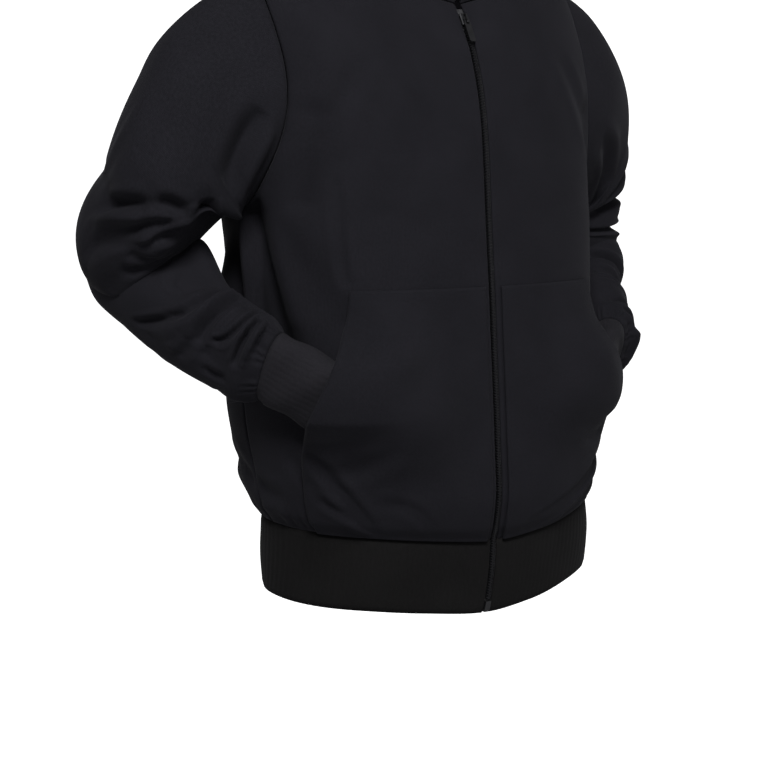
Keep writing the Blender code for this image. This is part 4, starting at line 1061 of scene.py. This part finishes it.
def clearOfBody(places, side, margin):
    # points closer to the body than the margin move level and straight out of it
    turns = side * nearBody["turns"]
    heights = nearBody["heights"]
    surface = bodySurface(turns[None, :], heights[:, None])
    height = places[..., 2] + originHeight
    margin = np.broadcast_to(margin, height.shape)
    near = (np.abs(places[..., 0]) < nearBody["reach"]) & (height < nearBody["top"])
    spots = places[near]
    high = height[near]
    cell = (high - heights[0]) / (heights[1] - heights[0])
    low = np.clip(cell.astype(int), 0, len(heights) - 2)
    share = (cell - low)[:, None, None]
    level = surface[low] * (1 - share) + surface[low + 1] * share
    nearest = ((spots[:, None, :] - level) ** 2).sum(-1).argmin(-1)
    spot = bodySurface(turns[nearest], high)
    away = bodyNormals(turns[nearest], high)
    away = away * np.sign(away[:, :1] * side)
    away[:, 2] = 0
    away = unit(away)
    gap = ((spots - spot) * away).sum(-1)
    moved = places.copy()
    moved[near] = spots + np.maximum(margin[near] - gap, 0)[:, None] * away
    return moved


def measured(rows, length):
    # the same rows, with places along the piece in metres
    return {key: row * length if key.endswith("Along") else row for key, row in rows.items()}


def sleeveGrid(arm):
    # tube of rings that starts on the armhole, with lifts, folds, creases and end gathers
    side = arm["side"]
    turn = np.arange(arms["columns"]) / arms["columns"]
    along = np.linspace(0, 1, arms["rows"] + 1)
    centre, inward, front = sleeveFrame(arm, along)
    cosine, sine = roundedTurn(turn)
    grid = centre[:, None] + inward[:, None] * cosine[None, :, None]
    grid = grid + front[:, None] * sine[None, :, None]
    first, away = armholeRing(side, turn)
    settle = (1 - ease(along / arms["settled"]))[:, None, None]
    grid = grid + (first - grid[0])[None] * settle
    for middle, place, halfTurn, halfAlong, rise in zip(*arm["lifts"].values()):
        near = (((turn[None, :] - middle + 0.5) % 1 - 0.5) / halfTurn) ** 2
        near = near + ((along[:, None] - place) / halfAlong) ** 2
        grid[..., 2] += rise * np.exp(-near)
    sign = -side
    normals = gridNormals(grid, True, sign)
    length = arms["length"]
    far = along[:, None] * length
    folds = measured(arm["folds"], length)
    creases = measured(arm["creases"], length)
    rise = foldSum(turn[None, :], far, folds, arms["girth"], roundArm)
    rise = rise + creaseSum(turn[None, :], far, creases, arms["girth"], roundArm)
    fade = ease(along / arms["startFade"]) * ease((1 - along) / arms["endFade"])
    rise = rise * fade[:, None]
    waves, swing, beat = arms["gatherWaves"]
    angle = turn * 2 * math.pi
    gather = arms["gather"] * np.sin(angle * waves + swing * np.sin(angle * beat))
    fade = np.exp(-(((1 - along) / arms["gatherFade"]) ** 2))
    fade = fade * ease((1 - along) / arms["gatherEase"])
    rise = rise + gather[None, :] * fade[:, None]
    grid = grid + rise[..., None] * normals
    least, more, reach = arms["margins"]
    grid = clearOfBody(grid, side, (least + more * ease(along / reach))[:, None])
    grid[0] = first
    normals = gridNormals(grid, True, sign)
    roll = edgeRoll(far, *arms["armholeRoll"]) + edgeRoll(length - far, *arms["cuffRoll"])
    grid = grid + roll[..., None] * normals
    grid[0] = first - arms["tuck"] * away  # tucked in behind the armhole's edge
    return grid, gridNormals(grid, True, sign), sign


cuffKnit = {
    "ribs": 36,
    "perRib": 8,
    "rows": 24,
    "rise": 0.00022,
    "sharpness": 0.7,
    "edgeFade": 0.005,
    "slack": 0.0012,
    "slackWaves": (130, 3),
    "slackFade": 0.01,
    "margin": 0.0015,
    "join": 0.014,
    "wall": 0.0024,
}


def cuffGrid(arm, last):
    # ribbed tube through the cuff's rings, joined to the last ring of the sleeve
    side = arm["side"]
    rings = arm["rings"]
    cuffs = arm["cuffs"]
    seamCentre, seamInward, seamFront = sleeveFrame(arm, np.array([1.0]))
    forward = unit(-side * np.cross(seamInward, seamFront))
    keys = point(side * cuffs["out"], cuffs["back"], cuffs["height"])
    keys = np.concatenate([seamCentre + arms["seamGap"] * forward, keys])
    halfSide = np.append(rings["halfSide"][-1], cuffs["halfSide"])
    halfFront = np.append(rings["halfFront"][-1], cuffs["halfFront"])
    run = lengths(keys)
    at = np.linspace(0, run[-1], cuffKnit["rows"] + 1)
    centre = np.stack([through(run, key, at) for key in keys.T], -1)
    forward = unit(np.gradient(centre, axis=0))
    inward = np.broadcast_to(unit(seamInward), centre.shape)
    inward = unit(inward - (inward * forward).sum(-1, keepdims=True) * forward)
    front = side * -np.cross(forward, inward)
    wide = through(run, halfSide, at)[:, None, None]
    deep = through(run, halfFront, at)[:, None, None]
    columns = cuffKnit["ribs"] * cuffKnit["perRib"]
    turn = np.arange(columns) / columns
    cosine, sine = roundedTurn(turn)
    wave = (0.5 - 0.5 * np.cos(2 * math.pi * cuffKnit["ribs"] * turn)) ** cuffKnit["sharpness"]
    fade = ease(at / cuffKnit["edgeFade"])
    fade = fade * (0.5 + 0.5 * ease((run[-1] - at) / cuffKnit["edgeFade"]))
    lift = cuffKnit["rise"] * wave[None, :] * fade[:, None]
    down, around = cuffKnit["slackWaves"]
    slack = np.sin(at[:, None] * down + turn[None, :] * 2 * math.pi * around)
    lift = lift + cuffKnit["slack"] * slack * ease(at / cuffKnit["slackFade"])[:, None]
    grid = centre[:, None] + inward[:, None] * (wide + lift[..., None]) * cosine[None, :, None]
    grid = grid + front[:, None] * (deep + lift[..., None]) * sine[None, :, None]
    grid = clearOfBody(grid, side, cuffKnit["margin"] + lift)
    places = np.arange(len(last) + 1) / len(last)
    first = readAlong(places, np.concatenate([last, last[:1]]), turn)
    join = (1 - ease(at / cuffKnit["join"]))[:, None, None]
    grid = grid + (first - grid[0])[None] * join
    return grid, gridNormals(grid, True, -side), -side


for word in ("right", "left"):
    arm = arms[word]
    sleeve = "sleeve_" + word
    *cloth, sign = sleeveGrid(arm)
    made = shell(sleeve + "_cloth", *cloth, clothWall, True, fleece, sign)
    finishPiece(made, sleeve)
    print("sleeve", word, "made")
    *cloth, sign = cuffGrid(arm, cloth[0][-1])
    # the cuffs wear the rib's painted-light copy
    made = shell("cuff_" + word + "_knit", *cloth, cuffKnit["wall"], True, cuffRibPaintedLight, sign)
    finishPiece(made, "cuff_" + word)
print("cuffs made")


def pocketEdge(*mouth):
    # foot and top are the same on both pockets
    foot = (0.077, 0.765, 0.000), (0.120, 0.757, 0.002)
    top = (0.312, 0.575, 0.003), (0.330, 0.573, 0.000)
    return table("height turn standOff", *foot, *mouth, *top)


pockets = {
    "right": {
        "side": -1,
        "edge": pocketEdge(
            (0.160, 0.732, 0.010),
            (0.179, 0.706, 0.020),
            (0.190, 0.686, 0.034),
            (0.206, 0.662, 0.051),
            (0.232, 0.630, 0.055),
            (0.255, 0.605, 0.052),
            (0.275, 0.588, 0.034),
            (0.295, 0.578, 0.012),
        ),
        "hump": (0.43, 0.207, 0.20, 0.056, 0.034),
        "creases": table(
            "fromTurn fromHeight midTurn midHeight toTurn toHeight width rise",
            (0.709, 0.169, 0.632, 0.129, 0.546, 0.093, 0.0065, -0.0050),
            (0.704, 0.118, 0.625, 0.104, 0.540, 0.090, 0.0050, -0.0030),
            (0.706, 0.169, 0.600, 0.150, 0.430, 0.178, 0.0080, -0.0022),
            (0.502, 0.116, 0.399, 0.113, 0.325, 0.093, 0.0060, -0.0018),
        ),
    },
    "left": {
        "side": 1,
        "edge": pocketEdge(
            (0.155, 0.745, 0.008),
            (0.175, 0.735, 0.015),
            (0.186, 0.716, 0.023),
            (0.203, 0.684, 0.029),
            (0.228, 0.635, 0.031),
            (0.248, 0.604, 0.029),
            (0.268, 0.588, 0.020),
            (0.290, 0.580, 0.008),
        ),
        "hump": (0.43, 0.220, 0.20, 0.046, 0.022),
        "creases": table(
            "fromTurn fromHeight midTurn midHeight toTurn toHeight width rise",
            (0.730, 0.140, 0.520, 0.112, 0.180, 0.086, 0.0070, -0.0050),
            (0.740, 0.110, 0.600, 0.097, 0.420, 0.086, 0.0055, -0.0035),
            (0.700, 0.190, 0.600, 0.165, 0.480, 0.160, 0.0080, -0.0020),
        ),
    },
    "top": 0.330,
    "zipEdge": 0.0095,
    "rows": 120,
    "columns": 90,
    "bandGap": 0.00015,
    "seamGap": 0.0003,
    "clearance": 0.0007,
    "leastRise": 0.0006,
    "openFrom": 0.35,
    "openOver": 0.52,
    "sewnReach": 0.33,
    "cornerStart": 0.55,
    "cornerFade": 0.03,
    "flatEdges": (0.015, 0.010, 0.006, 0.015),
    "mouthStart": 0.40,
}


def pocketGrid(pocket):
    # cloth over the front: seam gap + cube root(hump cubed + mouth's stand-off cubed)
    side = pocket["side"]
    edge = pocket["edge"]
    top = pockets["top"]
    start = body["bandTop"] + pockets["bandGap"]
    height = np.linspace(start, top, pockets["rows"] + 1)[:, None]
    share = np.linspace(0, 1, pockets["columns"] + 1)[None, :]
    outer = read(edge, "height", "turn", height)
    inner = zipTurn(height, pockets["zipEdge"])
    turn = inner + (outer - inner) * share
    spread = ease((share - pockets["openFrom"]) / pockets["openOver"])
    standOff = read(edge, "height", "standOff", height) * spread
    middleTurn, middleHeight, halfTurn, halfHeight, swell = pocket["hump"]
    far = ((turn - middleTurn) / halfTurn) ** 2 + ((height - middleHeight) / halfHeight) ** 2
    hump = swell * np.exp(-far)
    reach = pockets["sewnReach"]
    span = reach * (top - body["bandTop"])
    sewn = ease(share / reach) * ease((height - body["bandTop"]) / span)
    sewn = sewn * ease((top - height) / span)
    mouth = edge["height"][3]
    begin = pockets["cornerStart"]
    corner = ease((mouth - height) / pockets["cornerFade"]) * ease((share - begin) / (1 - begin))
    hump = hump * sewn * (1 - corner)
    rise = pockets["seamGap"] + pockets["clearance"] + (hump**3 + standOff**3) ** (1 / 3)
    base = bodySurface(side * turn, height)
    normals = bodyNormals(side * turn, height)
    normals = normals * np.sign(-normals[..., 1:2])
    grid = base + (rise + clothWall)[..., None] * normals
    normals = gridNormals(grid, False, side)
    crease = creaseSum(turn, height, pocket["creases"], body["turnLength"], (0,))
    distances = edgeDistances(grid)
    for distance, flat in zip(distances, pockets["flatEdges"]):
        crease = crease * ease(distance / flat)
    shift = np.maximum(crease, pockets["leastRise"] - rise)
    left, right, _, upper = distances
    shift = shift + rolledEdges((left, right, upper), edges["seam"])
    grid = grid + shift[..., None] * normals
    return grid, gridNormals(grid, False, side), side


for word in ("right", "left"):
    *cloth, sign = pocketGrid(pockets[word])
    made = shell("pocket_" + word + "_cloth", *cloth, clothWall, False, fleece, sign)
    finishPiece(made, "pocket_" + word)
    for inset in sewing["doubleInsets"]:
        stitch(cloth, "right", inset, start=pockets["mouthStart"])
        stitch(cloth, "high", inset)
    stitch(cloth, "right", sewing["mouthInset"], end=pockets["mouthStart"])
    stitch(cloth, "left", sewing["pocketInset"])
print("pockets made")

hood = {
    "profiles": table(
        "turn out1 up1 out2 up2 out3 up3 out4 up4",
        (0.00, 0.001, 0.008, 0.003, 0.016, 0.005, 0.024, 0.006, 0.032),
        (0.45, 0.008, 0.014, 0.018, 0.026, 0.022, 0.042, 0.017, 0.056),
        (0.95, 0.020, 0.012, 0.052, 0.012, 0.064, 0.040, 0.042, 0.066),
        (1.35, 0.030, -0.004, 0.078, -0.050, 0.092, -0.012, 0.064, 0.052),
        (1.70, 0.040, -0.025, 0.100, -0.120, 0.118, -0.062, 0.088, 0.034),
        (2.00, 0.044, -0.036, 0.104, -0.150, 0.126, -0.080, 0.096, 0.026),
    ),
    "rows": 64,
    "columns": 180,
    "length": 0.30,
    "turnLength": 0.15,
    "baseFade": 0.15,
    "rimFade": 0.12,
    "centreFade": 0.06,
    "creases": table(
        "fromTurn fromAlong midTurn midAlong toTurn toAlong width rise",
        (1.20, 0.20, 1.45, 0.34, 1.75, 0.38, 0.012, -0.0035),
        (1.00, 0.45, 1.25, 0.55, 1.55, 0.56, 0.012, 0.0030),
        (1.50, 0.60, 1.70, 0.70, 1.90, 0.72, 0.010, -0.0030),
        (0.60, 0.30, 0.80, 0.45, 1.05, 0.52, 0.010, -0.0020),
        (1.60, 0.15, 1.80, 0.22, 2.00, 0.22, 0.012, -0.0030),
    ),
}


def roundedRun(values, at):
    # Catmull-Rom through evenly spaced rows of values
    tangent = np.gradient(values, axis=0)
    cell = np.clip((at * (len(values) - 1)).astype(int), 0, len(values) - 2)
    t = (at * (len(values) - 1) - cell)[:, None]
    return cubic(values[cell], values[cell + 1], tangent[cell], tangent[cell + 1], t)


def hoodGrid(side):
    # each line leaves the neck edge and runs through four points out and up from it
    start = float(zipTurn(np.array(body["neckFront"]), body["zipHalfGap"]))
    turn = np.linspace(start, 2.0, hood["columns"] + 1)
    base = bodySurface(side * turn, neckHeight(turn))
    angle = side * turn * quarter
    away = np.stack([np.sin(angle), -np.cos(angle), 0 * angle], axis=-1)
    profiles = hood["profiles"]
    outs = [0 * turn] + [read(profiles, "turn", "out" + step, turn) for step in "1234"]
    ups = [0 * turn] + [read(profiles, "turn", "up" + step, turn) for step in "1234"]
    at = np.linspace(0, 1, hood["rows"] + 1)
    grid = base[None] + roundedRun(np.array(outs), at)[..., None] * away[None]
    grid[..., 2] += roundedRun(np.array(ups), at)
    normals = gridNormals(grid, False, side)
    far = at[:, None] * hood["length"]
    creases = measured(hood["creases"], hood["length"])
    rise = creaseSum(turn[None, :], far, creases, hood["turnLength"], (0,))
    fade = ease(at / hood["baseFade"]) * ease((1 - at) / hood["rimFade"])
    rise = rise * fade[:, None] * ease((2.0 - turn) / hood["centreFade"])[None, :]
    rise = rise + rolledEdges(edgeDistances(grid), edges["hood"])
    grid = grid + rise[..., None] * normals
    return grid, gridNormals(grid, False, side), side


for word, side in (("right", -1), ("left", 1)):
    *cloth, sign = hoodGrid(side)
    made = shell("hood_" + word + "_cloth", *cloth, clothWall, False, fleece, sign)
    finishPiece(made, "hood_" + word)
    stitch(cloth, "high", sewing["hoodHem"])
    stitch(cloth, "right", sewing["seamInset"])
    stitch(cloth, "low", sewing["seamInset"])
print("hood made")

chain = {
    "low": 0.013,
    "high": 0.589,
    "steps": 700,
    "pitch": 0.0028,
    "tooth": (0.0021, 0.0014, 0.00062),
    "layers": ((-1, 1.0), (0.35, 1.0), (1, 0.72)),
    "reach": 0.0009,
    "depth": 0.0012,
    "sharp": 35,
}


def zipLine():
    # middle of the zip, with the direction out of the cloth
    height = np.linspace(chain["low"], chain["high"], chain["steps"])
    normals = bodyNormals(0, height)
    return bodySurface(0, height), normals * np.sign(-normals[:, 1:2])


def toothBlocks(centre, across, away, way, size):
    # twelve-cornered block whose outer face is a little smaller than its middle
    wide, deep, tall = size
    corners = []
    for depth, shrink in chain["layers"]:
        for u, w in ((-1, -1), (1, -1), (1, 1), (-1, 1)):
            corners.append((u * wide * shrink, depth * deep, w * tall * shrink))
    corners = np.array(corners)
    points = (
        centre[:, None]
        + across[:, None] * corners[None, :, :1]
        + away[:, None] * corners[None, :, 1:2]
        + way[:, None] * corners[None, :, 2:]
    )
    index = np.arange(len(corners)).reshape(-1, 4)
    cell = np.concatenate([index[:1, ::-1], index[-1:], quads(index, True)])
    faces = cell[None] + len(corners) * np.arange(len(centre))[:, None, None]
    return points.reshape(-1, 3), faces.reshape(-1, 4)


line, normals = zipLine()
run = lengths(line)
teethPoints = []
teethFaces = []
for side, shift in ((-1, 0.0), (1, 0.5)):
    places = np.arange(chain["pitch"] * (0.5 + shift), run[-1], chain["pitch"])
    middle = readAlong(run, line, places)
    away = unit(readAlong(run, normals, places))
    way = unit(np.gradient(middle, axis=0))
    across = unit(np.cross(away, way))
    centre = middle + side * chain["reach"] * across - chain["depth"] * away
    points, faces = toothBlocks(centre, across, away, way, chain["tooth"])
    teethFaces += (faces + sum(len(block) for block in teethPoints)).tolist()
    teethPoints.append(points)
teeth = meshObject("zip_teeth", np.concatenate(teethPoints), teethFaces, teethFinish)
teeth.data.set_sharp_from_angle(angle=math.radians(chain["sharp"]))
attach(teeth, "garment")
print("zip teeth made")

threads = meshObject(
    "seam_threads", np.concatenate(seamThreads["points"]), seamThreads["faces"], thread
)
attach(threads, "garment")
print("stitches made")

keptNodes = {
    "zip_tape_right": tape,
    "zip_tape_left": tape,
    "zip_slider": metal,
    "zip_pull_tab": metal,
    "zip_box": metal,
}
for node, material in keptNodes.items():
    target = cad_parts[node]
    if not target.material_slots:
        target.data.materials.append(material)
    for slot in target.material_slots:
        slot.link = "OBJECT"
        slot.material = material

stage = {
    "floorHeight": -1.55,
    "size": 900.0,
    "dull": (0.90, 0.90, 0.90),
    "pale": (0.94, 0.94, 0.94),
    "mottle": (0.7, 2.0),
    "roughness": 0.9,
    "specular": 0.1,
    "glow": 1.0,
}


def makeStage():
    # a glowing pale floor that lights nothing, so that it is white to its far edge
    half = stage["size"] / 2
    corners = [(-half, -half), (half, -half), (half, half), (-half, half)]
    corners = np.array([(x, y, stage["floorHeight"]) for x, y in corners])
    constants = {
        "Roughness": stage["roughness"],
        "Specular IOR Level": stage["specular"],
        "Emission Strength": stage["glow"],
        "Emission Color": (1, 1, 1, 1),
    }
    material, tree, shader = newMaterial("floor", constants)
    mottle = noise(onObject(tree), *stage["mottle"])
    mixInto(shader, mottle, stage["dull"], stage["pale"])
    floor = meshObject("floor", corners, [(0, 1, 2, 3)], material)
    floor.visible_diffuse = False
    floor.visible_glossy = False


makeStage()


def placed(made, *columns):
    # columns: across, up, backward and place
    matrix = Matrix.Identity(4)
    for column, vector in enumerate(columns):
        for row in range(3):
            matrix[row][column] = vector[row]
    made.matrix_world = matrix
    bpy.context.scene.collection.objects.link(made)
    return made


view = {
    "azimuth": -34.0,
    "distance": 2.30,
    "focal": 2162.0,
    "height": 0.506,
    "drop": 275.0,
    "axisPixel": 406.0,
    "pixels": 770.0,
    "sensor": 36.0,
    "farthest": 100.0,
}


def makeCamera():
    # level direction turned by the azimuth, then yawed and pitched in pixels of focal length
    angle = math.radians(view["azimuth"])
    half = view["pixels"] / 2
    right = np.array([math.cos(angle), math.sin(angle), 0.0])
    ahead = np.array([-math.sin(angle), math.cos(angle), 0.0])
    place = -ahead * view["distance"]
    place[2] = view["height"] - originHeight
    yaw = math.atan((view["axisPixel"] - half) / view["focal"])
    pitch = math.atan(view["drop"] / view["focal"])
    forward = ahead * math.cos(yaw) - right * math.sin(yaw)
    across = right * math.cos(yaw) + ahead * math.sin(yaw)
    forward = forward * math.cos(pitch) - np.array([0, 0, 1.0]) * math.sin(pitch)
    up = np.cross(across, forward)
    data = bpy.data.cameras.new("camera")
    data.sensor_width = view["sensor"]
    data.lens = view["focal"] * view["sensor"] / view["pixels"]
    data.clip_end = view["farthest"]
    camera = bpy.data.objects.new("camera", data)
    bpy.context.scene.camera = placed(camera, across, up, -forward, place)


makeCamera()

lights = {
    "horizon": (1.0, 1.0, 1.0),
    "sky": (0.16, 0.16, 0.165),
    "ground": (0.60, 0.60, 0.61),
    "bandMiddle": 0.02,
    "bandCore": 0.05,
    "bandEdge": 0.12,
    "blend": 0.05,
    "aimHeight": -0.3,
    "strength": 1.30,
    "lamps": table(
        "azimuth elevation distance size power",
        (-31.0, 40.0, 3.4, 1.1, 222.0),
        (25.0, 8.0, 3.4, 1.5, 20.0),
    ),
}


def makeLights():
    # white band at the horizon with a dimmer grey above and below it, and two round lamps
    world = bpy.data.worlds.new("world")
    world.use_nodes = True
    tree = world.node_tree
    backdrop = tree.nodes["Background"]
    high = makeNode(tree, "ShaderNodeTexCoord", {}, {}, 0).split()[2]
    share = (high - lights["bandMiddle"]).maths("ABSOLUTE")
    share = share.ranged(lights["bandCore"], lights["bandEdge"])
    above = high.ranged(-lights["blend"], lights["blend"])
    grey = mixColours(tree, above, lights["ground"], lights["sky"])
    mixColours(tree, share, lights["horizon"], grey).feeds(backdrop.inputs["Color"])
    backdrop.inputs["Strength"].default_value = lights["strength"]
    bpy.context.scene.world = world
    for azimuth, elevation, distance, size, power in zip(*lights["lamps"].values()):
        turn = math.radians(azimuth)
        rise = math.radians(elevation)
        aim = np.array([0, 0, lights["aimHeight"]])
        backward = np.array([math.sin(turn), -math.cos(turn), 0]) * math.cos(rise)
        backward[2] = math.sin(rise)
        data = bpy.data.lights.new("lamp", "AREA")
        data.shape = "DISK"
        data.size = size
        data.energy = power
        lamp = bpy.data.objects.new("lamp", data)
        across = unit(np.cross([0, 0, 1.0], backward))
        up = np.cross(backward, across)
        placed(lamp, across, up, backward, aim + distance * backward)


makeLights()
bpy.context.scene.view_settings.view_transform = "Standard"
print("stage, camera and lights made")
